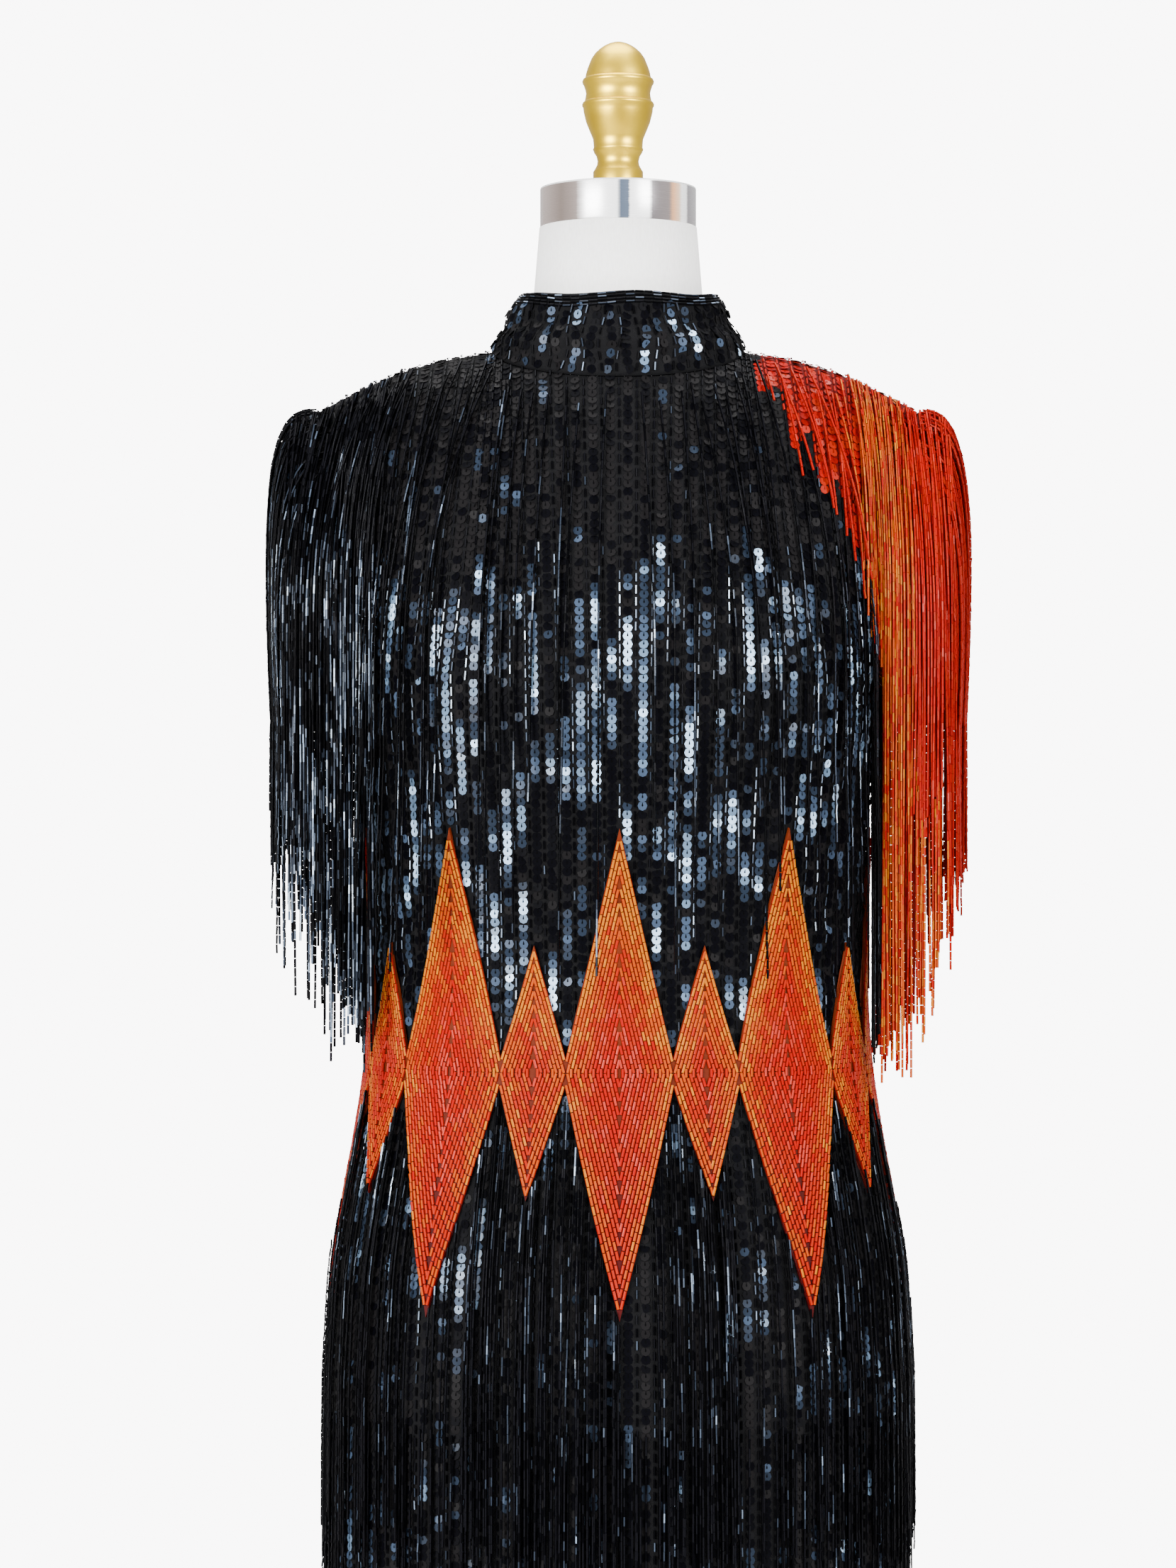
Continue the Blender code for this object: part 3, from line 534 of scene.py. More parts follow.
# %% Bead and sequin shapes
SEQUIN_RADIUS = 3.0 * MM
SEQUIN_STEP = 5.2 * MM
EYE_RADIUS = 0.5 * MM
EYE_RISE = 0.15 * MM
THREAD_REACH = 2.3 * MM
BUGLE_LENGTH = 5.3 * MM
BUGLE_STEP = 5.8 * MM
STITCH_STEP = 7.7 * MM


def shape_arrays(bm):
    """Vertices, faces and slots of a small shape. Its y is the line's way and its z points out."""
    verts = np.array([v.co[:] for v in bm.verts])
    bm.verts.index_update()
    faces = [[v.index for v in face.verts] for face in bm.faces]
    slots = np.array([face.material_index for face in bm.faces])
    bm.free()
    return verts, faces, slots


def sequin_shape():
    """A disc with a dark eye and thread over it."""
    bm = bmesh.new()
    bmesh.ops.create_circle(bm, cap_ends=True, segments=8, radius=SEQUIN_RADIUS)
    eye = bmesh.ops.create_circle(bm, cap_ends=True, segments=4, radius=EYE_RADIUS)["verts"]
    for vert in eye:
        vert.co.z += EYE_RISE
        if vert.co.y > 0.2 * EYE_RADIUS:
            vert.co.y = THREAD_REACH
    for face in bm.faces:
        face.material_index = 1 if len(face.verts) == 4 else 0
    return shape_arrays(bm)


def bugle_shape(width, strip, depth, length, closed):
    """A short tube along y: a front strip, and two sides and, on a hanging one, a back, which take a dark
    finish as painted shade.
    """
    bm = bmesh.new()
    section = [(-width / 2, 0), (-strip / 2, depth), (strip / 2, depth), (width / 2, 0)]
    low = [bm.verts.new((x, -length / 2, z)) for x, z in section]
    high = [bm.verts.new((x, length / 2, z)) for x, z in section]
    for k in range(4 if closed else 3):
        nxt = (k + 1) % 4
        face = bm.faces.new((low[k], low[nxt], high[nxt], high[k]))
        face.material_index = 0 if k == 1 else 1
    return shape_arrays(bm)


sequin = sequin_shape()
stitched_bugle = bugle_shape(1.5 * MM, 0.75 * MM, 0.9 * MM, BUGLE_LENGTH, False)
border_bugle = bugle_shape(2.15 * MM, 1.45 * MM, 1.0 * MM, BUGLE_LENGTH, False)
hanging_bugle = bugle_shape(1.55 * MM, 0.85 * MM, 1.0 * MM, BUGLE_LENGTH + 0.3 * MM, True)
print("faces a piece", len(sequin[1]), len(stitched_bugle[1]), len(hanging_bugle[1]))


class Sewn:
    """A kind of small thing sewn in columns: shape, dark finishes, and how it sits on the cloth."""

    def __init__(self, shape, dark, offset, step, lift, lean, shake):
        self.shape = shape
        self.dark = dark
        self.offset = offset
        self.step = step
        self.lift = lift
        self.lean = lean
        self.shake = shake


SEWN = {
    "sequins": Sewn(sequin, SEQUIN, 0.5, SEQUIN_STEP, 0.45 * MM, 0.10, 0.11),
    "bugles": Sewn(stitched_bugle, JET, 0.0, STITCH_STEP, 0.75 * MM, 0.0, 0.05),
}

# %% Setting copies along lines


def frames(along, out):
    """Three directions for each copy: across the line, along it, and out."""
    along = unit(along)
    out = unit(out - np.sum(out * along, axis=1, keepdims=True) * along)
    return np.stack([np.cross(along, out), along, out], axis=1)


def tilted(axes, lean, spread):
    """Leans each copy's face along its line and shakes it a little both ways."""
    across, along, out = axes[:, 0], axes[:, 1], axes[:, 2]
    a = lean + spread * rng.standard_normal(len(axes))
    b = spread * rng.standard_normal(len(axes))
    out = unit(out + along * a[:, None] + across * b[:, None])
    return frames(along - out * np.sum(along * out, axis=1, keepdims=True), out)


def set_copies(name, shape, places, axes, pick, materials):
    """One mesh with a copy of the shape at every place, each with its picked material. A sequin's
    eye and a bugle's sides take the last one: the eye is the sequin's dark hole, and on the sides it is
    painted shade."""
    verts, faces, slots = shape
    count, size = len(places), len(verts)
    coords = places[:, None, :] + np.einsum("vk,nkj->nvj", verts, axes)
    corners = np.concatenate(faces)
    loops = (corners[None, :] + size * np.arange(count)[:, None]).ravel()
    lengths = np.tile([len(face) for face in faces], count)
    mesh = bpy.data.meshes.new(name)
    mesh.vertices.add(count * size)
    mesh.vertices.foreach_set("co", coords.astype(np.float32).ravel())
    mesh.loops.add(len(loops))
    mesh.loops.foreach_set("vertex_index", loops.astype(np.int32))
    mesh.polygons.add(count * len(faces))
    mesh.polygons.foreach_set("loop_start", (np.cumsum(lengths) - lengths).astype(np.int32))
    eye_and_painted_shade = len(materials) - 1
    chosen = np.where(slots[None, :] > 0, eye_and_painted_shade, np.asarray(pick)[:, None])
    mesh.polygons.foreach_set("material_index", chosen.ravel().astype(np.int32))
    mesh.update(calc_edges=True)
    piece = finish_piece(name, mesh, materials, smooth=False)
    print(name, count, "copies,", int(np.sum(lengths - 2)), "triangles")
    return piece


def spaced(points, normals, step, first=0.0):
    """Places, directions along and directions out at an even step along a line of points."""
    length = np.concatenate([[0], np.cumsum(np.linalg.norm(np.diff(points, axis=0), axis=1))])
    at = np.arange(first, length[-1], step)
    place = np.stack([np.interp(at, length, points[:, k]) for k in range(3)], axis=1)
    ahead = np.stack([np.interp(at + step / 2, length, points[:, k]) for k in range(3)], axis=1)
    behind = np.stack([np.interp(at - step / 2, length, points[:, k]) for k in range(3)], axis=1)
    out = np.stack([np.interp(at, length, normals[:, k]) for k in range(3)], axis=1)
    return place, ahead - behind, out


def joined(found):
    """The arrays of all lines, end to end."""
    return [np.concatenate(parts) for parts in zip(*found)]


print("copy tools ready")

# %% [markdown]
# ## Where light is caught
# Real sequins flash in patches, where the cloth happens to face a window, and the beads of one
# string flash in short runs. Mirrors this small would only sparkle at random in a picture. So the
# flashes are painted: each copy's finish is picked by luck that is smoothed over its neighbours and
# weighted by height, and a bright finish is a painted glint. The seeds are fixed, which deals the
# same beads in every render.

# %% Luck, patches and picks


def patches(x, z, seed):
    """Smooth random patches from 0 to 1, tall and narrow, that say where light is caught."""
    dice = np.random.default_rng(seed)
    total = np.zeros_like(x)
    for _ in range(7):
        waves = dice.uniform(20, 130), dice.uniform(12, 60), dice.uniform(0, 6.3)
        total += np.sin(x * waves[0] + z * waves[1] * dice.choice([-1, 1]) + waves[2])
    return np.clip(0.5 + total / 7, 0, 1)


def runs(count, step, slow=0.034, fast=0.011):
    """Luck from 0 to 1 along one line, alike over a few neighbours, so that glints come in runs."""
    at = np.arange(count) * step
    total = 0.15 * rng.random(count)
    for share, knot in ((0.45, slow), (0.40, fast)):
        knots = np.arange(0, at[-1] + 2 * knot, knot)
        total += share * np.interp(at, knots, rng.random(len(knots)))
    return total


def pick_dark(luck, shine):
    """Slot of each dark bead: black or charcoal, charcoal mostly where shine is low, and where luck and
    shine are high the lighter finishes that are painted glints, up to a flash.
    """
    pick = (rng.random(len(luck)) < np.where(shine < 0.4, 0.7, 0.15)).astype(int)
    for slot, rare, common in ((2, 0.78, 0.45), (3, 0.86, 0.53), (4, 0.92, 0.61), (5, 0.98, 0.70)):
        pick[luck > rare - (rare - common) * shine] = slot
    return pick


def pick_flame(count, hot):
    """Slot of each flame-coloured bead; hot is True on orange."""
    dice = rng.random(count)
    # Coral among the reds is a painted highlight; amber among the oranges is partly a lighter bead and
    # partly a painted highlight.
    reds = np.select([dice < 0.56, dice < 0.84, dice < 0.90], [3, 2, 5], 4)
    oranges = np.select([dice < 0.56, dice < 0.74, dice < 0.94], [1, 0, 2], 3)
    return np.where(hot, oranges, reds)


def painted_shine_on_cloth(place, seed):
    """How many painted glints the cloth's beads get, by height and in patches: little on the upper chest,
    most just below it.
    """
    levels = [0.42, 0.62, 0.80, 0.95, 1.06, 1.15, 1.225, 1.250, 1.268, 1.40]
    amounts = [0.50, 0.50, 0.42, 0.70, 0.82, 0.88, 1.08, 0.95, 0.20, 0.10]
    ragged = 0.03 * (patches(place[:, 0] * 2, place[:, 2] * 0, seed + 20) - 0.5)
    height = np.interp(place[:, 2] + ragged, levels, amounts)
    return height * (0.55 + 0.75 * patches(place[:, 0], place[:, 2], seed))


def painted_shine_on_strings(place, seed):
    """The same painted glints for hanging strings, which get few of them and are darker on the skirt."""
    levels = [0.40, 0.65, 0.80, 0.93, 1.06, 1.24, 1.29, 1.33, 1.40]
    amounts = [0.12, 0.14, 0.32, 0.60, 0.64, 0.60, 0.26, 0.12, 0.05]
    height = np.interp(place[:, 2], levels, amounts)
    return height * (0.5 + 0.8 * patches(place[:, 0], place[:, 2], seed))


print("picks ready")

# %% [markdown]
# ## Where the colours lie
# The dress is dark, with one shoulder and sleeve in plain red, and an orange stripe beside the
# sleeve. The red ends in an even row of points. Round the waist runs a harlequin border of tall
# and small lozenges, a traditional figure, in nested stripes from amber to red.

# %% Border and shoulder colours
TALL_LOZENGE = 150 * MM
SMALL_LOZENGE = 78 * MM
LOZENGE_NECK = 9 * MM
TALL_SHARE = 0.31
PERIOD = 0.5
RED_START = 0.087
RED_EDGE = [(0.088, 1.395), (0.104, 1.366), (0.120, 1.338), (0.140, 1.308), (0.157, 1.262), (0.200, 1.150)]
POINT_WIDTH = 18 * MM
POINT_HEIGHT = 26 * MM
STRIPE = (0.158, 0.180)
CLOTH_UNDER_POINTS = 4 * MM


def border_half_height(u):
    """Half of the border's height where u is the share of the way round to the side seam."""
    place = np.abs((u / PERIOD + 0.5) % 1 - 0.5)
    tall = LOZENGE_NECK + (TALL_LOZENGE - LOZENGE_NECK) * (1 - place / TALL_SHARE)
    small = (place - TALL_SHARE) / (0.5 - TALL_SHARE)
    return np.where(place <= TALL_SHARE, tall, LOZENGE_NECK + (SMALL_LOZENGE - LOZENGE_NECK) * small)


def red_edge(x):
    """Height of the red shoulder's lower edge, which falls from the neck to the armhole."""
    places, heights = zip(*RED_EDGE)
    return np.interp(x, places, heights)


def red_depth(x, z):
    """How far a point lies inside the red shoulder, in metres; below 0 it is outside."""
    point = np.abs((x / POINT_WIDTH) % 1 - 0.5) * 2
    return np.where(x > RED_START, z - red_edge(x) + POINT_HEIGHT * point, -1)


def in_stripe(x):
    """True on the orange stripe that runs down beside the sleeve."""
    return (np.abs(x) > STRIPE[0]) & (np.abs(x) < STRIPE[1])


for panel in (cloth_front, cloth_back_left):
    panel.data.materials.append(red_cloth)
    for face in panel.data.polygons:
        face.material_index = int(red_depth(face.center.x, face.center.z) > CLOTH_UNDER_POINTS)
print("border's tallest point", round(float(BORDER_MIDDLE + border_half_height(np.array(0.0))), 3))

# %% [markdown]
# ## Sequins and stitched beads on the body
# The cloth is covered in columns: a line of overlapping sequins, then a line of bugle beads, and so
# on all round. Both lines follow the body's columns from the hem to the neckline and are spaced by
# their true length along the cloth. None lie under the border, which is worked solid.

# %% Sequins and bugles on the panels
COLUMNS_A_SIDE = 46
BORDER_MARGIN = 1.5 * MM


def column_copies(side, start, stop, sewn):
    """Places, ways along and out, and luck of a panel's small things."""
    count = int(round(COLUMNS_A_SIDE * (stop - start) / 2))
    found = []
    for k in range(count):
        round_share = start + (stop - start) * (k + sewn.offset) / count
        x, z = column_line(float(even_share(np.array(round_share), side)), side)
        points, out = on_body(x, z, side, sewn.lift)
        first = rng.uniform(0.2, 0.9) * sewn.step + 2 * MM
        place, along, out = spaced(points, out, sewn.step, first)
        luck = runs(len(place), sewn.step)
        border = border_half_height(round_share) + BORDER_MARGIN
        clear = np.abs(place[:, 2] - BORDER_MIDDLE) > border
        found.append((place[clear], along[clear], out[clear], luck[clear]))
    return joined(found)


def panel_copies(panel, side, start, stop, seed):
    """The sequins and the stitched bugles of one panel, dark and red."""
    made = []
    for kind, sewn in SEWN.items():
        place, along, out, luck = column_copies(side, start, stop, sewn)
        axes = tilted(frames(along, out), sewn.lean, sewn.shake)
        red = red_depth(place[:, 0], place[:, 2]) > 0
        name = f"{kind}_{panel}"
        pick = pick_dark(luck[~red], painted_shine_on_cloth(place[~red], seed))
        made.append(set_copies(name, sewn.shape, place[~red], axes[~red], pick, sewn.dark))
        if red.any():
            pick = pick_flame(red.sum(), in_stripe(place[red][:, 0]))
            made.append(set_copies(f"{name}_red", sewn.shape, place[red], axes[red], pick, FLAME))
    return made


on_front = panel_copies("front", FRONT, -1, 1, 3)
on_back_left = panel_copies("back_left", BACK, 0, 1, 4)
on_back_right = panel_copies("back_right", BACK, -1, 0, 5)

# %% [markdown]
# ## The harlequin border
# Beaders fill a lozenge with straight rows of bugles laid along its own edges, from the outside
# in, so the rows meet in chevrons on its axes. Every lozenge is worked in four quarters here, and
# each row takes its colour from its number. The solid border stays and shows between the beads as
# the dark red cloth they are sewn to.

# %% Border beads
ROW_STEP = 2.2 * MM
BORDER_FACE = 2.3 * MM
BEAD_LIFT = 0.25 * MM
SEAM_MARGIN = 1.2 * MM
QUARTERS = ((-1, -1), (-1, 1), (1, -1), (1, 1))


def round_length(side):
    """Distance round the body from the middle to the side seam, at the border."""
    x = half_width(BORDER_MIDDLE) * np.sin(np.linspace(0, np.pi / 2, 200))
    points, _ = on_body(x, np.full_like(x, BORDER_MIDDLE), side)
    return float(np.sum(np.linalg.norm(np.diff(points, axis=0), axis=1)))


def quarter_rows(half, height, neck, up):
    """Beads of one quarter, as distance across, height, lean and row. A row starts at mid-height:
    an odd one half a bead up, an even one with a bead across the middle, set with the upper half."""
    tilt = math.atan((height - neck) / half)
    drop = ROW_STEP / math.cos(tilt)
    beads = []
    for row in range(int(height / drop)):
        top = height - drop * (row + 0.5)
        end = min(half, top / math.tan(tilt))
        length = end / math.cos(tilt)
        first = length - BUGLE_STEP * (0.5 if row % 2 else (0.0 if up > 0 and end < half else 1.0))
        for at in np.arange(first, 0.15 * BUGLE_STEP, -BUGLE_STEP):
            lean = math.pi / 2 if abs(at - length) < 1e-9 else tilt
            beads.append((at * math.cos(tilt), top - at * math.sin(tilt), lean, row))
    return np.array(beads)


def border_beads(name, side, start, stop):
    """All border beads of one panel."""
    unit_length = round_length(side)
    beads = []
    for k in range(-4, 5):
        for middle, half, height in (
            (k * PERIOD, TALL_SHARE * PERIOD, TALL_LOZENGE),
            ((k + 0.5) * PERIOD, (0.5 - TALL_SHARE) * PERIOD, SMALL_LOZENGE),
        ):
            for left, up in QUARTERS:
                quarter = quarter_rows(half * unit_length, height, LOZENGE_NECK, up)
                s = middle + left * quarter[:, 0] / unit_length
                lean = -left * up * quarter[:, 2]
                beads.append(np.stack([s, up * quarter[:, 1], lean, quarter[:, 3]], axis=1))
    beads = np.concatenate(beads)
    margin = SEAM_MARGIN / unit_length
    beads = beads[(beads[:, 0] > start + margin) & (beads[:, 0] < stop - margin)]
    share = even_share(beads[:, 0], side)
    z = BORDER_MIDDLE + beads[:, 1]
    x = below_arm(share, z)
    place, out = on_body(x, z, side)
    place += out * (BORDER_FACE + BEAD_LIFT + crease(x, z))[:, None]
    across = unit(np.cross([0, 0, 1.0], out))
    across = np.where(across[:, :1] < 0, -across, across)
    upward = unit(np.cross(across, out))
    upward = np.where(upward[:, 2:] < 0, -upward, upward)
    lean = beads[:, 2:3]
    axes = tilted(frames(across * np.cos(lean) + upward * np.sin(lean), out), 0.0, 0.05)
    fall = np.clip((BORDER_MIDDLE + 0.09 - z) / 0.22, 0, 1)
    warm = 0.3 + beads[:, 3] / 4.2 + fall * 1.6 + rng.normal(0, 0.5, len(beads))
    pick = np.clip(warm, 0, 3.6).astype(int)
    # Nearly half of the red beads take coral, a painted highlight.
    pick[(rng.random(len(pick)) < 0.45) & (pick == 3)] = 5
    return set_copies(name, border_bugle, place, axes, pick, FLAME)


border_front = border_beads("border_front", FRONT, -1, 1)
border_back_left = border_beads("border_back_left", BACK, 0, 1)
border_back_right = border_beads("border_back_right", BACK, -1, 0)

# %% [markdown]
# ## The stand collar
# The collar is a short tube that leans in to the neck, softly folded by its own height. It is open
# at the centre back by a seam's width, and lies flat there, where its two buttons close it. A
# formula again gives its points, from the neckline at its foot to the top edge, so that cloth and
# beads can share it.

# %% The collar's shape
COLLAR_TOP_HALF_WIDTH = 61 * MM
COLLAR_TOP_FRONT = 58 * MM
COLLAR_TOP_BACK = 54 * MM
COLLAR_BULGE = 4 * MM
COLLAR_LIFT = 0.6 * MM
COLLAR_DIP = 4 * MM
COLLAR_WAVE = 0.9 * MM
FOLD_DEPTH = 2.2 * MM
FOLD_PITCH = 28 * MM
FOLD_START = 1.3945
FLAT_BACK = 0.6


def collar_point(turn, share, off=0.0):
    """Points on the collar: turn 0 is the front and pi the back, share 1 is the top edge."""
    turn, share = np.broadcast_arrays(np.asarray(turn, float), np.asarray(share, float))
    ahead = np.cos(turn) >= 0
    side = np.where(ahead, FRONT, BACK)
    drop = np.where(ahead, FRONT_NECK_DROP, BACK_NECK_DROP)
    x = NECK_HALF_WIDTH * np.sin(turn)
    z = NECK_POINT - drop * np.abs(np.cos(turn))
    y = side * (np.sqrt(np.maximum(depth_squared(x, z, side), 0)) + SEAM_GAP / 2)
    foot = np.stack([x, y, z + COLLAR_LIFT], axis=-1)
    depth = np.where(ahead, COLLAR_TOP_FRONT, COLLAR_TOP_BACK)
    dip = COLLAR_DIP * np.maximum(np.cos(turn), 0)
    rim = COLLAR_TOP - dip + COLLAR_WAVE * (np.sin(turn * 5 + 0.8) - 1)
    top = np.stack([COLLAR_TOP_HALF_WIDTH * np.sin(turn), -depth * np.cos(turn), rim], axis=-1)
    level = foot[..., 2] * (1 - share) + rim * share
    swell = np.sin(np.pi * share)
    wave = (level - FOLD_START) * 2 * np.pi / FOLD_PITCH + 0.25 * np.sin(turn * 3)
    folds = (np.sin(wave) * swell - 1) * np.clip((np.pi - np.abs(turn)) / FLAT_BACK, 0, 1)
    bulge = COLLAR_BULGE * swell + FOLD_DEPTH * folds * swell + off
    outward = np.stack([np.sin(turn), -np.cos(turn), np.zeros_like(turn)], axis=-1)
    return foot * (1 - share)[..., None] + top * share[..., None] + outward * bulge[..., None]


def collar_out(turn, share):
    """Ways out of the collar."""
    e = 1e-3
    along = collar_point(turn, np.minimum(share + e, 1)) - collar_point(turn, np.maximum(share - e, 0))
    around = collar_point(turn + e, share) - collar_point(turn - e, share)
    return unit(np.cross(around, along))


print("collar stands", round((COLLAR_TOP - NECK_POINT) / MM), "mm over the neck point")

# %% [markdown]
# ## Collar cloth and beads
# The collar's cloth is a grid bent round the neck. On it the columns of sequins and bugles go on
# as on the body, with a little more shake, since the folds turn them every way. Four rows of
# bugles laid level finish the top edge, and a fifth covers the seam at the foot.

# %% Collar cloth


def collar_cloth():
    """The collar's cloth from a grid bent round the neck."""
    bm, grid_x, grid_y = cloth_grid(96, 16)
    slit = SEAM_GAP / 2 / COLLAR_TOP_BACK
    turn = grid_x * (math.pi - slit)
    share = grid_y / 2 + 0.5
    bend_cloth(bm, collar_point(turn, share), turn * 0.065, share * 0.05)
    piece = finish_piece("cloth_collar", mesh_from("cloth_collar", bm), [black_cloth])
    print("collar area", round(flat_area(piece.data), 4))
    return solidify(piece, CLOTH_THICK)


cloth_collar = collar_cloth()
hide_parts("collar")


# %% Collar beads
COLLAR_COLUMNS = 42
COLLAR_COLUMN_TOP = 0.84
COLLAR_EDGE_ROWS = (-0.006, 0.865, 0.905, 0.945, 0.985)
SLIT_MARGIN = 0.03


def collar_copies(kind, shake):
    """Columns of sequins or bugles up the collar."""
    sewn = SEWN[kind]
    found = []
    share = np.linspace(0.03, COLLAR_COLUMN_TOP, 60)
    for k in range(COLLAR_COLUMNS):
        wander = 0.02 * np.sin(share * rng.uniform(5, 9) + rng.uniform(0, 6.3))
        turn = -math.pi + 2 * math.pi * (k + sewn.offset) / COLLAR_COLUMNS + wander
        turn = np.clip(turn, -math.pi + SLIT_MARGIN, math.pi - SLIT_MARGIN)
        out = collar_out(turn, share)
        line = collar_point(turn, share) + out * sewn.lift
        place, along, out = spaced(line, out, sewn.step, 0.5 * sewn.step)
        found.append((place, along, out, runs(len(place), sewn.step)))
    place, along, out, luck = joined(found)
    axes = tilted(frames(along, out), sewn.lean, shake)
    # Painted glints in patches, fading towards the collar's sides.
    shine = 0.50 + 0.85 * patches(place[:, 0] * 1.4, place[:, 2] * 1.4, 9)
    pick = pick_dark(luck, shine * (1 - 8 * np.abs(place[:, 0])))
    return set_copies(f"{kind}_collar", sewn.shape, place, axes, pick, sewn.dark)


collar_sequins = collar_copies("sequins", 0.20)
collar_bugles = collar_copies("bugles", 0.12)


def collar_edge():
    """Four level rows of bugles round the top, and one that covers the seam at the foot."""
    found = []
    for row, share in enumerate(COLLAR_EDGE_ROWS):
        turn = np.linspace(-math.pi + 0.01, math.pi - 0.01, 400)
        level = share + 0.012 * (np.sin(turn * 3 + 0.6) - 1) * (share > 0)
        out = collar_out(turn, level)
        line = collar_point(turn, level) + out * SEWN["bugles"].lift
        found.append(spaced(line, out, BUGLE_STEP, row % 2 * BUGLE_STEP / 2 + 3 * MM))
    place, along, out = joined(found)
    axes = tilted(frames(along, out), 0, 0.06)
    # Picks above black are painted glints; the row at the foot gets none.
    pick = rng.choice(5, len(place), p=[0.34, 0.34, 0.18, 0.10, 0.04])
    pick[place[:, 2] < COLLAR_TOP - 20 * MM] = 0
    return set_copies("bugles_collar_edge", stitched_bugle, place, axes, pick, JET)


edge_bugles = collar_edge()

# %% [markdown]
# ## The sleeves
# A set-in sleeve is a tube from the armhole to its own hem. Each of its lines leaves the armhole,
# rolls over the shoulder's tip and drops straight, which a curve with two guide points gives. The
# tube is open at the bottom, so that the armhole shows from below.

# %% The sleeve's shape
SLEEVE_HEM = 1165 * MM
SLEEVE_MIDDLE = 193 * MM
SLEEVE_HALF_THICK = 23 * MM
SLEEVE_HALF_DEEP = 66 * MM


def sleeve_point(turn, share):
    """Points on the +X sleeve, from the armhole (share 0) to its hem (1)."""
    turn, share = np.broadcast_arrays(np.asarray(turn, float), np.asarray(share, float))
    turn = turn % (2 * np.pi)
    ahead = turn <= np.pi
    down = np.where(ahead, turn / np.pi, 2 - turn / np.pi)
    up = 0.5 + 0.5 * np.cos(np.pi * down)
    side = np.where(ahead, FRONT, BACK)
    x, z = above_arm(np.ones_like(up), up, FRONT)
    y = side * np.sqrt(np.maximum(depth_squared(x, z, side), 0))
    start = np.stack([x + SEAM_GAP, y, z], axis=-1)
    end = np.stack(
        [
            SLEEVE_MIDDLE + SLEEVE_HALF_THICK * np.cos(turn),
            -SLEEVE_HALF_DEEP * np.sin(turn),
            np.full_like(turn, SLEEVE_HEM),
        ],
        axis=-1,
    )
    bend = 1 + np.cos(turn)
    first = start + np.stack([(5 + 10.5 * bend) * MM, 0 * turn, bend * MM], axis=-1)
    second = end + np.stack([4 * MM * bend, 0 * turn, 0.87 * (start[..., 2] - SLEEVE_HEM)], axis=-1)
    t = share[..., None]
    return start * (1 - t) ** 3 + first * 3 * t * (1 - t) ** 2 + second * 3 * t**2 * (1 - t) + end * t**3


def sleeve_out(turn, share):
    """Ways out of the sleeve."""
    e = 1e-3
    low, high = np.maximum(share - e, 0), np.minimum(share + e, 1)
    along = sleeve_point(turn, high) - sleeve_point(turn, low)
    level = np.maximum(share, 0.004)
    around = sleeve_point(turn + e, level) - sleeve_point(turn - e, level)
    return unit(np.cross(around, along))


def mirrored(points, sign):
    return points * np.array([sign, 1, 1])


print("sleeve hem at", round(SLEEVE_HEM, 3))

# %% [markdown]
# ## Sleeve cloth and beads
# A grid is bent to the sleeve's formula and closed where its two edges meet. The two sleeves are
# mirror twins, but the wearer's left one is red, with orange beads next to the body at its front
# and back.

# %% Sleeve cloth


def sleeve_cloth(name, sign, material):
    """A sleeve's cloth: an open tube bent to the armhole and the hem."""
    bm, grid_x, grid_y = cloth_grid(64, 22)
    turn = (grid_x + 1) * math.pi
    share = 0.5 - grid_y / 2
    points = mirrored(sleeve_point(turn, share), sign)
    bend_cloth(bm, points, turn * 0.048, share * 0.19)
    bmesh.ops.remove_doubles(bm, verts=bm.verts, dist=1e-6)
    bmesh.ops.recalc_face_normals(bm, faces=bm.faces)
    piece = finish_piece(name, mesh_from(name, bm), [material])
    outward = sum(
        (f.center.x * sign - SLEEVE_MIDDLE) * f.normal.x * sign + f.center.y * f.normal.y
        for f in piece.data.polygons
    )
    if outward < 0:
        piece.data.flip_normals()
    print(name, "area", round(flat_area(piece.data), 4))
    return solidify(piece, CLOTH_THICK)


cloth_sleeve_left = sleeve_cloth("cloth_sleeve_left", 1, red_cloth)
cloth_sleeve_right = sleeve_cloth("cloth_sleeve_right", -1, black_cloth)
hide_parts("sleeve_left")
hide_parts("sleeve_right")


# %% Sleeve beads
SLEEVE_COLUMNS = 30
SLEEVE_ORANGE_END = 0.184


def sleeve_copies(kind, sign):
    """Columns of sequins or bugles down a sleeve, flame-coloured on +X and dark on -X."""
    sewn = SEWN[kind]
    found = []
    share = np.linspace(0.02, 0.99, 80)
    for k in range(SLEEVE_COLUMNS):
        turn = np.full_like(share, 2 * math.pi * (k + sewn.offset) / SLEEVE_COLUMNS)
        out = sleeve_out(turn, share)
        line = sleeve_point(turn, share) + out * sewn.lift
        place, along, out = spaced(line, out, sewn.step, 0.5 * sewn.step)
        found.append((place, along, out, runs(len(place), sewn.step)))
    place, along, out, luck = joined(found)
    place = mirrored(place, sign)
    axes = tilted(frames(-mirrored(along, sign), mirrored(out, sign)), sewn.lean, sewn.shake)
    if sign > 0:
        pick = pick_flame(len(place), place[:, 0] < SLEEVE_ORANGE_END)
        return set_copies(f"{kind}_sleeve_left", sewn.shape, place, axes, pick, FLAME)
    pick = pick_dark(luck, painted_shine_on_strings(place, 6))
    return set_copies(f"{kind}_sleeve_right", sewn.shape, place, axes, pick, sewn.dark)


sleeve_trims = {}
for sign, word in ((1, "left"), (-1, "right")):
    sleeve_trims[word] = [sleeve_copies(kind, sign) for kind in SEWN]

# %% [markdown]
# ## The fringe
# Fringe is string after string of bugle beads. A string is sewn at its top, follows the body while
# the body swells outwards, and hangs plumb once it falls away. So a string's distance from the
# middle may only grow on the way down. No two strings end level, and each sways by a millimetre or
# two.

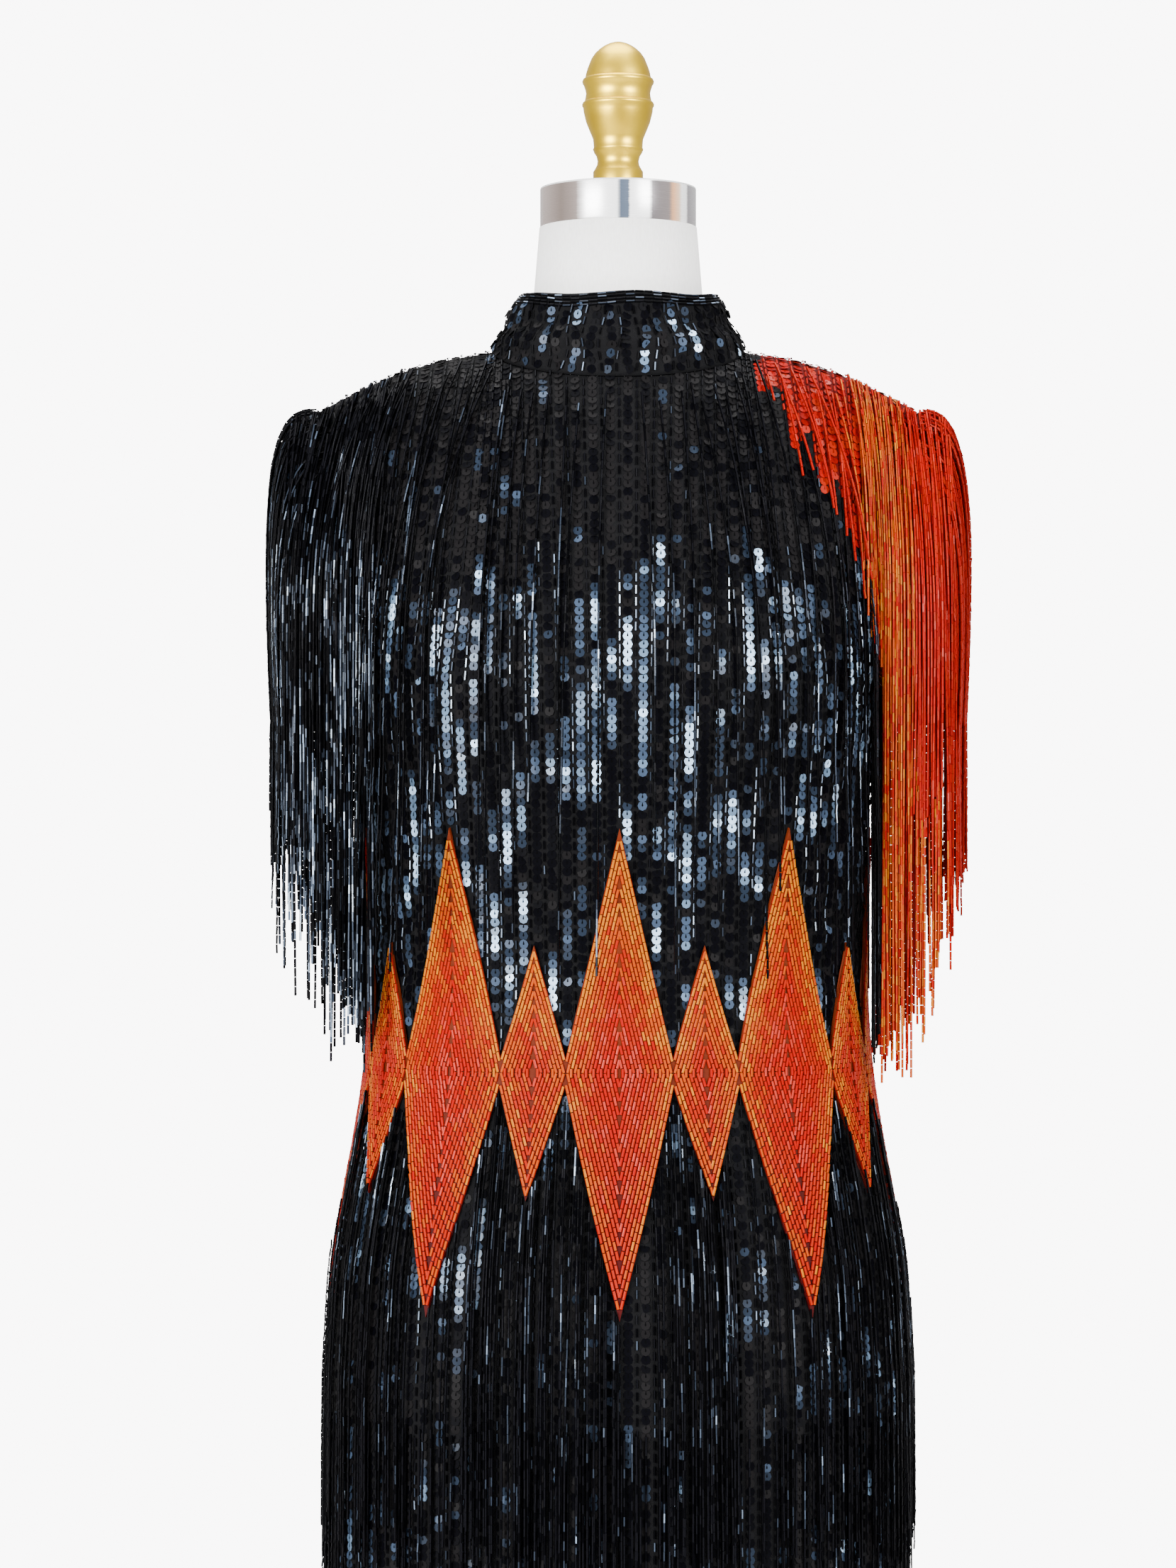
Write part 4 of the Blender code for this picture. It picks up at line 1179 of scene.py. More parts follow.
# %% Strings of beads
LINE_STEP = 2 * MM
LUCK, KIND = 9, 10


class Strings:
    """Collects hanging strings, each with its beads' places, directions, luck and finish."""

    def __init__(self):
        self.rows = []

    def hang(self, line, out, red=None):
        """Beads one string; red is None on a dark string, or True where it is orange."""
        place, along, out = spaced(line, out, BUGLE_STEP, first=0.5 * BUGLE_STEP)
        if len(place):
            kind = 0 if red is None else 1 + int(red)
            luck = runs(len(place), BUGLE_STEP, 0.045, 0.013)
            tags = np.stack([luck, np.full(len(place), kind)], axis=1)
            self.rows.append(np.concatenate([place, along, out, tags], axis=1))

    def piece(self, name, seed, dark=True, shine=1.0):
        """One mesh of the dark strings, or of the red and orange ones."""
        rows = np.concatenate(self.rows)
        rows = rows[(rows[:, KIND] == 0) == dark]
        place, along, out = rows[:, :3], rows[:, 3:6], rows[:, 6:9]
        axes = tilted(frames(-along, out), 0.0, 0.05)
        if dark:
            pick = pick_dark(rows[:, LUCK], painted_shine_on_strings(place, seed) * shine)
            return set_copies(name, hanging_bugle, place, axes, pick, JET)
        pick = pick_flame(len(rows), rows[:, KIND] == 2)
        return set_copies(name, hanging_bugle, place, axes, pick, FLAME)


def plumb(x, z, side, off):
    """A line that follows the body down and hangs plumb where the body falls away."""
    bound = half_width(z) * 0.999
    points, out = on_body(np.clip(x, -bound, bound), z, side, off)
    for axis in (0, 1):
        sign = 1 if points[-1, axis] >= 0 else -1
        points[:, axis] = sign * np.maximum.accumulate(points[:, axis] * sign)
    return points, out


def sway(fall, most):
    """Sideways wander of a string by how far it has fallen."""
    bend = 0.5 * MM * np.sin(fall / 0.25 * rng.uniform(2, 6) + rng.uniform(0, 6))
    return rng.normal(0, most) * fall / 0.25 + bend


print("string tools ready")

# %% [markdown]
# ## Fringe on the skirt
# Two tiers hang on the skirt. The upper one starts right under the border's lower edge. The lower
# one starts behind it, a little above its ends, and reaches past the hem. Strings are placed by
# chance round the body, so that they clump and part as real ones do.

# %% Skirt strings
HEM_FRINGE = (735 * MM, 404 * MM)
SKIRT_FRINGE_END = 655 * MM


def skirt_strings(tier, panel, side, start, stop, count, seed):
    """Strings below the border, or down to the hem, spread by chance so that they clump."""
    strings = Strings()
    for place in np.sort(rng.uniform(start, stop, count)):
        if tier == "skirt":
            high = BORDER_MIDDLE - float(border_half_height(place)) - 5 * MM
            low = SKIRT_FRINGE_END + rng.uniform(-14, 16) * MM
            off = 3.4 * MM
        else:
            high = HEM_FRINGE[0] - rng.uniform(0, 6) * MM
            low = HEM_FRINGE[1] + rng.uniform(0, 7) * MM
            off = 1.6 * MM
        z = np.arange(high, low, -LINE_STEP)
        x = below_arm(np.full_like(z, even_share(np.array(place), side)), z)
        line, out = plumb(x + sway(high - z, 1.2 * MM), z, side, off + rng.uniform(0, 1.6) * MM)
        strings.hang(line, out)
    return [strings.piece(f"strings_{tier}_{panel}", seed)]


print("hem fringe", round((HEM_FRINGE[0] - HEM_FRINGE[1]) / MM), "mm long")

# %% [markdown]
# ## Fringe on the yoke
# Strings hang thinly over the chest and the back from the neck and shoulder seams. On the red
# shoulder their upper part is red or orange and the rest is dark. A few more hang from under each
# arm and stay plumb, clear of the waist.

# %% Yoke strings
YOKE_FRINGE_END = 1055 * MM
YOKE_HALF_WIDTH = 0.150
YOKE_SLIDE = ([0, 0.05, 0.08, 0.115, 0.15], [0.004, 0.020, 0.046, 0.040, 0.010])
YOKE_ORANGE_START = 0.135
SIDE_STRINGS = 15
SIDE_STRING_ENDS = (0.95, 1.01)


def side_strings(strings, side, sign):
    """Strings from under the arm, which hang plumb beside the waist."""
    for place in rng.uniform(0.80, 0.995, SIDE_STRINGS):
        high = UNDERARM - rng.uniform(2, 25) * MM
        z = np.arange(high, rng.uniform(*SIDE_STRING_ENDS), -LINE_STEP)
        x = below_arm(np.full_like(z, sign * place), z) + sway(z[0] - z, 1.2 * MM)
        strings.hang(*plumb(x, z, side, (2.2 + rng.uniform(0, 1.6)) * MM))


def yoke_strings(panel, side, start, stop, count, seed):
    """Strings from the neck and shoulder seams, which slide outwards before they hang plumb."""
    strings = Strings()
    drop = FRONT_NECK_DROP if side < 0 else BACK_NECK_DROP
    for k in range(count):
        place = start + (stop - start) * (k + rng.uniform(0.1, 0.9)) / count
        x0 = math.copysign(abs(place) ** 0.65 * YOKE_HALF_WIDTH, place)
        if abs(x0) < NECK_HALF_WIDTH:
            seam = NECK_POINT - drop * math.sqrt(1 - (x0 / NECK_HALF_WIDTH) ** 2)
            high = seam - rng.uniform(8, 22) * MM
        else:
            high = float(shoulder_line(x0)) - rng.uniform(3, 24) * MM
        low = YOKE_FRINGE_END + rng.uniform(-50, 60) * MM
        slide = math.copysign(float(np.interp(abs(x0), *YOKE_SLIDE)) * rng.uniform(0.35, 1), x0)
        off = (2.2 + rng.uniform(0, 1.6)) * MM
        z = np.arange(high, low, -LINE_STEP)
        down = np.clip((high - z) / 0.18, 0, 1)
        x = x0 + slide * (1 - (1 - down) ** 2) + sway(high - z, 2 * MM)
        line, out = plumb(x, z, side, off)
        line += out * (1.7 * MM * np.clip((1.14 - z) / 0.06, 0, 1))[:, None]
        inside = red_depth(line[:, 0], line[:, 2]) > 0
        if inside[0]:
            last = min(int(np.argmin(inside)) + rng.integers(2, 18), len(z) - 1)
            strings.hang(line[:last], out[:last], red=bool(line[0, 0] > YOKE_ORANGE_START))
            first = last - rng.integers(0, 12)
            strings.hang(line[first:] - out[first:] * 1.2 * MM, out[first:])
        else:
            strings.hang(line, out)
    for sign in (-1, 1):
        if start < sign * 0.9 < stop:
            side_strings(strings, side, sign)
    made = [strings.piece(f"strings_yoke_{panel}", seed)]
    if panel != "back_right":
        made.append(strings.piece(f"strings_yoke_{panel}_red", seed, dark=False))
    return made


# %% Hang the fringe
SKIRT_COUNT = 150
HEM_COUNT = 124
YOKE_COUNT = 48

fringe_pieces = {}
for panel, side, start, stop, share in (
    ("front", FRONT, -0.997, 0.997, 1),
    ("back_left", BACK, 0.004, 0.997, 2),
    ("back_right", BACK, -0.997, -0.004, 2),
):
    span = (panel, side, start, stop)
    fringe_pieces[f"fringe_skirt_{panel}"] = skirt_strings("skirt", *span, SKIRT_COUNT // share, 5)
    fringe_pieces[f"fringe_hem_{panel}"] = skirt_strings("hem", *span, HEM_COUNT // share, 3)
    fringe_pieces[f"fringe_yoke_{panel}"] = yoke_strings(*span, YOKE_COUNT // share, 4)
for node, made in fringe_pieces.items():
    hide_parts(node)

# %% [markdown]
# ## Fringe on the sleeves
# Strings cover each shoulder from its ridge down. Those at the front and the back fall plumb over
# body and sleeve alike, so they need to know which of the two reaches further at each place. A
# table of that is filled from points of both, and the largest value so far is kept on the way
# down. The strings on the outside simply follow the sleeve. The tips are highest on the outside
# and lowest next to the body, which gives the fringe its slanting edge.

# %% How far body and sleeve reach
CELL = 1.5 * MM
NEIGHBOURS = (-2, 0, 2)


def reach_table(side):
    """How far body and +X sleeve reach to the front or back, by x and height, from the top down."""
    xs = np.arange(105 * MM, 216 * MM, CELL)
    zs = np.arange(SLEEVE_HEM, 1396 * MM, CELL)
    turn, share = np.meshgrid(np.linspace(0, np.pi, 361), np.linspace(0, 1, 401))
    points = sleeve_point(turn if side < 0 else 2 * np.pi - turn, share).reshape(-1, 3)
    i = np.round((points[:, 0] - xs[0]) / CELL).astype(int)
    j = np.round((points[:, 2] - zs[0]) / CELL).astype(int)
    keep = (i >= 0) & (i < len(xs)) & (j >= 0) & (j < len(zs))
    reach = np.zeros((len(xs), len(zs)))
    np.maximum.at(reach, (i[keep], j[keep]), np.abs(points[keep, 1]))
    x, z = np.meshgrid(xs, zs, indexing="ij")
    on = (x < half_width(z)) & (z < shoulder_line(x))
    reach = np.maximum(reach, np.sqrt(np.where(on, np.maximum(depth_squared(x, z, side), 0), 0)))
    reach = np.maximum.accumulate(reach[:, ::-1], axis=1)[:, ::-1]
    crown = np.array([zs[np.nonzero(column > 0)[0][-1]] for column in reach])
    wide = np.pad(reach, 2, mode="edge")
    soft = sum(
        wide[2 + a : 2 + a + len(xs), 2 + b : 2 + b + len(zs)] for a in NEIGHBOURS for b in NEIGHBOURS
    ) / 9
    return xs, zs, np.maximum(soft, reach * 0.98), crown


reach_tables = {side: reach_table(side) for side in (FRONT, BACK)}
print("table of", reach_tables[FRONT][2].shape, "cells")

# %% Strings of the shoulders and sleeves
OUTSIDE_TURN = math.radians(62)
OUTSIDE_TIERS = ((0.03, 20), (0.20, 20), (0.42, 22))
STRINGS_A_LAYER = 26
FRINGE_START = 152 * MM
FRINGE_WIDTH = 60 * MM
FRINGE_LIMIT = 0.222
BEYOND_STRIPE = (0.183, 0.203)
RED_ABOVE = 1.105
TIP_PLACES = [0.158, 0.175, 0.195, 0.207, 0.222]
# The usual tips and the lowest ones, for the red sleeve and the dark one
SLEEVE_TIPS = {
    1: ([0.955, 0.968, 1.012, 1.058, 1.085], [0.930, 0.930, 0.970, 1.015, 1.070]),
    -1: ([0.985, 1.000, 1.060, 1.083, 1.102], [0.935, 0.945, 0.965, 0.990, 1.070]),
}


def sleeve_tip(x, sign):
    """Height where a sleeve's string ends: most on a slanting edge, and a few much lower."""
    usual, lowest = (float(np.interp(x, TIP_PLACES, tips)) for tips in SLEEVE_TIPS[sign])
    return usual + (lowest - usual) * rng.random() ** 3 + rng.uniform(-9, 12) * MM


def swept_string(side, table, x, root, low, layer):
    """A string that leaves the ridge nearer to the neck, sweeps outwards and then hangs plumb."""
    xs, zs, reach, crown = table
    high = float(np.interp(root, xs, crown)) - rng.uniform(0, 3 + 9 * layer) * MM
    z = np.arange(high, low, -LINE_STEP)
    down = np.clip((high - z) / 0.13, 0, 1)
    path = x + (root - x) * (1 - down) ** 2.2
    i = np.clip(np.round((path - xs[0]) / CELL).astype(int), 0, len(xs) - 1)
    j = np.clip(np.round((z - zs[0]) / CELL).astype(int), 0, len(zs) - 1)
    y = np.maximum.accumulate(reach[i, j])
    y = np.convolve(np.pad(y, 4, mode="edge"), np.full(9, 1 / 9), "valid")
    y += (1.6 + 1.3 * layer + rng.uniform(0, 0.8)) * MM
    hung = np.maximum(SLEEVE_HEM + 0.05 - z, 0)
    line = np.stack([path + sway(hung, 1.6 * MM), side * (y + sway(hung, 1.5 * MM)), z], axis=1)
    return line, np.tile([0.0, side, 0.0], (len(z), 1))


def front_and_back_strings(strings, sign):
    """Three layers of strings at the front and the back of a shoulder. On the red one, strings
    beyond the stripe turn orange at their lower end, and the outer layer there is shorter."""
    for side in (FRONT, BACK):
        for layer in range(3):
            for k in range(STRINGS_A_LAYER):
                along = (k + (layer + rng.uniform(0, 0.9)) / 3) / STRINGS_A_LAYER
                x = FRINGE_START + FRINGE_WIDTH * along
                sweep = rng.uniform(8, 30) if sign < 0 else rng.uniform(1, 9)
                root = x - sweep * MM * min(1, (FRINGE_LIMIT - x) / 0.03)
                low = sleeve_tip(x, sign)
                beyond = sign > 0 and BEYOND_STRIPE[0] < x < BEYOND_STRIPE[1]
                if sign > 0 and x < 0.164:
                    low = 1.25 - (x - FRINGE_START) * 4 + rng.uniform(-14, 20) * MM
                elif beyond and layer == 2:
                    low = 1.10 + rng.uniform(-35, 30) * MM
                line, out = swept_string(side, reach_tables[side], x, root, low, layer)
                if beyond and layer < 2:
                    cut = int((line[:, 2] > RED_ABOVE + rng.uniform(-30, 30) * MM).sum())
                    strings.hang(line[:cut], out[:cut], False)
                    strings.hang(line[cut:], out[cut:], True)
                else:
                    orange = x < BEYOND_STRIPE[0] + rng.normal(0, 0.003)
                    strings.hang(mirrored(line, sign), out, orange if sign > 0 else None)


def outside_strings(strings, sign):
    """Strings on the outside, which follow the sleeve and hang from its hem."""
    for root, count in OUTSIDE_TIERS:
        for k in range(count):
            turn = -OUTSIDE_TURN + 2 * OUTSIDE_TURN * (k + rng.uniform(0.15, 0.85)) / count
            share = np.linspace(root + rng.uniform(-0.02, 0.05), 1, 50)
            around = np.full_like(share, turn)
            out = sleeve_out(around, share)
            off = (1.2 + rng.uniform(0, 2.8) * np.clip((share - root) / 0.5, 0, 1)) * MM
            line = sleeve_point(around, share) + out * off[:, None]
            end_x, end_y, end_z = line[-1]
            drop = np.arange(end_z - LINE_STEP, sleeve_tip(end_x, sign), -LINE_STEP)
            fall = end_z - drop
            x = end_x + sway(fall, 1.6 * MM)
            y = end_y + sway(fall, 2 * MM)
            line = np.concatenate([line, np.stack([x, y, drop], axis=1)])
            out = np.concatenate([out, np.repeat(out[-1:], len(drop), axis=0)])
            strings.hang(mirrored(line, sign), mirrored(out, sign), None if sign < 0 else False)


def shoulder_strings(sign):
    """All strings of one shoulder and sleeve."""
    strings = Strings()
    front_and_back_strings(strings, sign)
    outside_strings(strings, sign)
    word = "left" if sign > 0 else "right"
    # Shine 1.5 gives the sleeve strings more painted glints.
    return strings.piece(f"strings_sleeve_{word}", 8, dark=sign < 0, shine=1.5)


strings_sleeve_left = shoulder_strings(1)
strings_sleeve_right = shoulder_strings(-1)
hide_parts("fringe_sleeve_left")
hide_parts("fringe_sleeve_right")

# %% [markdown]
# ## The dress form
# The torso is a smooth, covered shell. Only its neck shows above the collar and its underside from
# below, but it is made whole. It is built ring by ring, a little inside the dress, as the solid
# is, and pulled over with white jersey: a fine rib in the colour's and bump's noise.

# %% The torso
FORM_CLEARANCE = 5 * MM
FORM_SEAT = 3.0 * MM
FORM_BOTTOM = 800 * MM
FORM_ARM_HALF_WIDTH = 155 * MM
FORM_ROUNDING = 20 * MM
FORM_STEPS = 96
FORM_HEIGHTS = [
    0.800, 0.801, 0.806, 0.815, 0.826, *np.arange(0.85, 1.30, 0.02),
    1.31, 1.32, 1.332, 1.341, 1.350, 1.356, 1.362, 1.367, 1.372, 1.377, 1.382, 1.387, 1.391,
]
NECK_ROWS = [
    (1.398, 0.0705, 0.0550, 0.0512), (1.405, 0.0650, 0.0545, 0.0510), (1.416, 0.0585, 0.0530, 0.0505),
    (1.437, 0.0535, 0.0515, 0.0500), (1.479, 0.0500, 0.0500, 0.0500),
]


FORM_TURN = np.linspace(0, 2 * np.pi, FORM_STEPS, endpoint=False)


def form_ring(z):
    """One level ring of the torso, drawn in a little at the rounded bottom."""
    turn = FORM_TURN
    ridge = (NECK_POINT - FORM_SEAT - z) / SHOULDER_SLOPE + math.hypot(NECK_HALF_WIDTH, SHOULDER_EASE)
    limit = math.sqrt(max(ridge**2 - SHOULDER_EASE**2, 0))
    half = min(float(half_width(min(z, UNDERARM))) - FORM_CLEARANCE, FORM_ARM_HALF_WIDTH)
    x = min(half, limit) * np.sin(turn)
    ahead = np.cos(turn) > 0
    q = np.minimum((x / half) ** 2, 1)
    below = np.minimum((shoulder_line(x) - FORM_SEAT - z) / SHOULDER_ROUNDING, 1)
    round_top = np.maximum(1 - (1 - below) ** 2, 0)
    depth = np.where(ahead, front_depth(z), back_depth(z)) - FORM_CLEARANCE
    y = depth * np.sqrt((1 - q) * (1 + BOXINESS * q) * round_top) * np.where(ahead, -1, 1)
    y = np.where(np.abs(np.cos(turn)) < 1e-6, 0, y)
    up = min((z - FORM_BOTTOM) / FORM_ROUNDING, 1)
    taper = 1 - 0.06 * (1 - up) ** 2
    return np.stack([x * taper, y * taper, np.full_like(x, z)], axis=1)


def torso():
    """Rings of the torso and its neck, bridged into one closed shell."""
    bm = bmesh.new()
    rings = [form_ring(z) for z in FORM_HEIGHTS]
    for z, half, front, back in NECK_ROWS:
        depth = np.where(np.cos(FORM_TURN) > 0, front, back)
        x, y = half * np.sin(FORM_TURN), -depth * np.cos(FORM_TURN)
        rings.append(np.stack([x, y, np.full_like(x, z)], axis=1))
    edges = []
    for ring in rings:
        made = bmesh.ops.create_circle(bm, segments=FORM_STEPS, radius=1)["verts"]
        for vert, place in zip(made, ring):
            vert.co = place
        edges.append(list({edge for vert in made for edge in vert.link_edges}))
    for low, high in zip(edges, edges[1:]):
        bmesh.ops.bridge_loops(bm, edges=low + high)
    bmesh.ops.contextual_create(bm, geom=edges[0])
    bmesh.ops.contextual_create(bm, geom=edges[-1])
    bmesh.ops.recalc_face_normals(bm, faces=bm.faces)
    return mesh_from("torso", bm)


jersey = Finish("jersey_white", (0.86, 0.855, 0.84), 0.8)
rib = jersey.noise(900, 1.0, stretch=(1, 1, 0.25))
jersey.feed("Base Color", jersey.ramp(rib, [(0.2, (0.80, 0.79, 0.77)), (0.8, (0.90, 0.895, 0.88))]))
jersey.bump(rib, 0.0003, 0.5)
torso_cover = finish_piece("torso_cover", torso(), [jersey.material])
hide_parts("form_body")
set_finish(torso_cover, "white_cover")
print("torso faces", len(torso_cover.data.polygons))

# %% [markdown]
# ## Turned parts
# The cap, the knob, the pole and the base are all round, so each is made as on a lathe: half of
# its outline is drawn once and spun about the middle. The faces are smooth, but an edge stays
# crisp where the outline turns a corner.

# %% The lathe
SHARP_ANGLE = math.radians(38)


def turned(name, profile, material, steps=96):
    """A piece turned on a lathe: its outline spun once round the middle."""
    bm = bmesh.new()
    line = [bm.verts.new((radius, 0, height)) for radius, height in profile]
    edges = [bm.edges.new(pair) for pair in zip(line, line[1:])]
    middle = {"cent": (0, 0, 0), "axis": (0, 0, 1), "angle": 2 * math.pi}
    bmesh.ops.spin(bm, geom=line + edges, steps=steps, use_merge=True, **middle)
    bmesh.ops.remove_doubles(bm, verts=bm.verts, dist=1e-6)
    bmesh.ops.recalc_face_normals(bm, faces=bm.faces)
    mesh = mesh_from(name, bm)
    piece = finish_piece(name, mesh, [material])
    mesh.set_sharp_from_angle(angle=SHARP_ANGLE)
    print(name, "faces", len(mesh.polygons))
    return piece


# %% [markdown]
# ## The metal cap
# A polished cylinder shows upright bands where it mirrors windows, walls and furniture, and long
# level scratches across them. The pale studio here holds nothing dark to mirror, so the bands are
# laid on as colours by the angle round the cap. Its lid faces the ceiling and is plain.

# %% The cap
CAP_FOOT = NECK_TOP + SEAM_GAP
CAP_TOP = CAP_FOOT + 25 * MM
LID_EDGE = 1.2 * MM
CAP_BANDS = [
    (0.00, (0.80, 0.80, 0.80)), (0.20, (0.60, 0.59, 0.58)), (0.30, (0.30, 0.25, 0.23)),
    (0.37, (0.15, 0.12, 0.105)), (0.41, (0.20, 0.165, 0.15)), (0.432, (0.92, 0.92, 0.92)),
    (0.498, (0.94, 0.94, 0.94)), (0.501, (0.070, 0.092, 0.130)), (0.520, (0.085, 0.108, 0.150)),
    (0.523, (0.94, 0.94, 0.94)), (0.562, (0.94, 0.94, 0.94)), (0.570, (0.115, 0.105, 0.110)),
    (0.612, (0.19, 0.165, 0.16)), (0.622, (0.70, 0.36, 0.18)), (0.640, (0.78, 0.55, 0.38)),
    (0.648, (0.92, 0.92, 0.92)), (0.664, (0.92, 0.92, 0.92)), (0.672, (0.22, 0.21, 0.22)),
    (0.76, (0.50, 0.50, 0.50)), (1.0, (0.80, 0.80, 0.80)),
]
brushed = Finish("cap_metal", (0.74, 0.73, 0.72), 0.24, 0.25, 0.0, 0.3)
scratches = brushed.noise(60, 3.0, stretch=(1, 1, 40))
angle = brushed.maths("ARCTAN2", brushed.axis("X"), 0 - brushed.axis("Y")) * (0.5 / math.pi) + 0.5
bands = brushed.ramp(angle + scratches * 0.006 - 0.003, CAP_BANDS)
lid = brushed.maths("GREATER_THAN", brushed.axis("Z"), CAP_TOP - LID_EDGE)
brushed.feed("Base Color", brushed.mix(lid, bands, (0.72, 0.72, 0.71, 1)))
brushed.feed("Roughness", scratches * 0.15 + 0.18)
brushed.bump(scratches, 0.00005, 0.4)

CAP_LINE = [(0, 0), (48.5, 0), (49.3, 0.2), (49.5, 0.9), (49.5, 24.1), (49.3, 24.8), (48.5, 25), (0, 25)]
neck_cap = turned("cap", [(r * MM, CAP_FOOT + h * MM) for r, h in CAP_LINE], brushed.material)
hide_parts("neck_cap")
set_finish(neck_cap, "polished_metal")

# %% [markdown]
# ## The gilt knob
# The knob's outline was read off the photograph: a stem, a ringed bulb and a domed tip. It is
# turned like the cap. Its gilt is satin and a little worn, so two golds drift into each other and
# the shine is soft.

# %% The knob
gilt = Finish("gilt_satin", (0.80, 0.50, 0.02), 0.36, 1.0)
worn = gilt.noise(45, 4.0)
gilt.feed("Base Color", gilt.ramp(worn, [(0.3, (0.74, 0.47, 0.016)), (0.7, (0.88, 0.60, 0.03))]))
gilt.feed("Roughness", worn * 0.2 + 0.28)
gilt.bump(gilt.noise(400, 2.0), 0.0001, 0.3)

KNOB = [
    (0.0, 0.0), (15.9, 0.0), (15.9, 10.2), (15.2, 11.2), (13.3, 14.8), (13.1, 17.3), (13.8, 20.2),
    (15.1, 22.2), (15.9, 24.0), (16.0, 24.7), (15.5, 25.6), (15.9, 30.9), (16.4, 32.2), (17.9, 35.8),
    (20.4, 42.0),
    (21.9, 48.2), (22.2, 51.0), (22.8, 52.0), (22.9, 53.1), (22.3, 54.2), (21.3, 55.0), (20.8, 57.2),
    (20.4, 60.0), (20.9, 62.5), (21.9, 65.4), (22.6, 66.4), (22.8, 67.6), (22.2, 69.0), (21.0, 69.8),
    (20.7, 71.0), (20.4, 72.7), (19.4, 76.0), (17.0, 82.1), (14.6, 85.6), (11.7, 88.3), (9.0, 90.2),
    (6.0, 91.7), (3.0, 92.6), (0.0, 92.9),
]
knob = turned("knob", [(r * MM, CAP_TOP + SEAM_GAP + h * MM) for r, h in KNOB], gilt.material)
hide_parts("finial")
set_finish(knob, "gilt")

# %% [markdown]
# ## Pole and base
# A painted steel pole stands in a round foot under the torso. Both are turned like the cap, in
# millimetres above the floor, and share one paint with a slight orange-peel bump.

# %% Pole and base
paint = Finish("stand_paint", (0.72, 0.72, 0.71), 0.4, 0.1, 0.2)
speck = paint.noise(260, 3.0)
paint.feed("Base Color", paint.ramp(speck, [(0.3, (0.68, 0.68, 0.67)), (0.7, (0.75, 0.75, 0.74))]))
paint.feed("Roughness", speck * 0.2 + 0.3)
paint.bump(speck, 0.00008, 0.4)

pole_line = [(0, 50.3), (13.6, 50.3), (14, 50.8), (14, 799.2), (13.6, 799.7), (0, 799.7)]
pole = turned("stand_pole", [(r * MM, h * MM) for r, h in pole_line], paint.material, 48)
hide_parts("pole")
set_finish(pole, "painted_steel")
base_line = [(0, 0), (174, 0), (175, 1), (175, 7), (174, 9), (171, 11), (150, 12.5), (120, 14.6), (90, 17)]
base_line += [(60, 19), (38, 20.4), (30, 21.8), (27, 25), (26, 30), (26, 49.2), (25.2, 50), (0, 50)]
base = turned("stand_base", [(r * MM, h * MM) for r, h in base_line], paint.material)
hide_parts("base")
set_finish(base, "painted_steel")

# %% [markdown]
# ## The nodes that stay
# The border's solids and the two ball buttons have the right shape already, so they only get a
# better finish. The border's is the cloth under the beads: rust red above, a deeper red below. The
# buttons are polished jet.

# %% Finishes for the border's ground and the buttons
ground = Finish("border_ground", (0.34, 0.05, 0.01), 0.6, gloss=0.1)
rise = (ground.axis("Z") - 0.86) * 6.0 + ground.noise(300, 2.0) * 0.25
ground.feed("Base Color", ground.ramp(rise, [(0.1, (0.045, 0.001, 0.001)), (0.9, (0.10, 0.012, 0.001))]))
ground.bump(ground.noise(900, 1.0), 0.0002, 0.5)
jet = Finish("button_jet", (0.01, 0.01, 0.013), 0.12, 0.0, 0.6)
jet.feed("Roughness", jet.noise(300, 2.0) * 0.12 + 0.06)
for start, finish in (("band_", ground), ("button_", jet)):
    for name, node in frame["nodes"].items():
        if name.startswith(start):
            node.data.materials.clear()
            node.data.materials.append(finish.material)
            print(name, "finished as", finish.material.name)

# %% [markdown]
# ## What each sheet was cut to
# Cloth is a flat thing made round, so each sheet is listed with the rectangle it is cut from, the
# trims that ride on it and the pieces it rests on, and the area of its cut is printed.

sheets = [
    (cloth_front, (0.52, 1.04), on_front + [border_front], ["torso_cover"]),
    (cloth_back_left, (0.27, 1.04), on_back_left + [border_back_left], ["torso_cover"]),
    (cloth_back_right, (0.27, 1.04), on_back_right + [border_back_right], ["torso_cover"]),
    (cloth_collar, (0.45, 0.065), [collar_sequins, collar_bugles, edge_bugles], ["cloth_front"]),
    (cloth_sleeve_left, (0.36, 0.22), sleeve_trims["left"], ["cloth_front"]),
    (cloth_sleeve_right, (0.36, 0.22), sleeve_trims["right"], ["cloth_front"]),
]
for piece, flat, trims, rests_on in sheets:
    area = flat_area(piece.data)
    print(piece.name, "cut", flat, "area", round(area, 4), "share", round(area / (flat[0] * flat[1]), 2))

slots = {"red": "red_cloth", "sleeve_left": "red_cloth", "border": "orange_beads"}
for piece in bpy.context.scene.objects:
    if piece.type == "MESH" and "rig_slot" not in piece and "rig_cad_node" not in piece:
        word = next((slot for key, slot in slots.items() if key in piece.name), "black_cloth")
        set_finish(piece, word)

# %% [markdown]
# ## Floor, light and camera
# The photograph is bright and even: a pale wall, soft window light from both sides. A pale round
# floor and a pale sky do the same, with the sky bright to the eye but mild on the beads, as a far
# wall is. Two large soft lights, one on each side of the camera, do most of the lighting, and a
# third hangs overhead. The camera stands level, a little over two and a half metres away, at the
# height of the picture's middle.

# %% Floor and light
bm = bmesh.new()
bmesh.ops.create_circle(bm, cap_ends=True, segments=96, radius=2.3)
floor = bpy.data.objects.new("floor", mesh_from("floor", bm))
bpy.context.scene.collection.objects.link(floor)
pale = Finish("floor_pale", (0.86, 0.85, 0.85), 0.7)
floor_tones = [(0.3, (0.84, 0.83, 0.83)), (0.7, (0.88, 0.87, 0.87))]
pale.feed("Base Color", pale.ramp(pale.noise(3, 2.0), floor_tones))
floor.data.materials.append(pale.material)

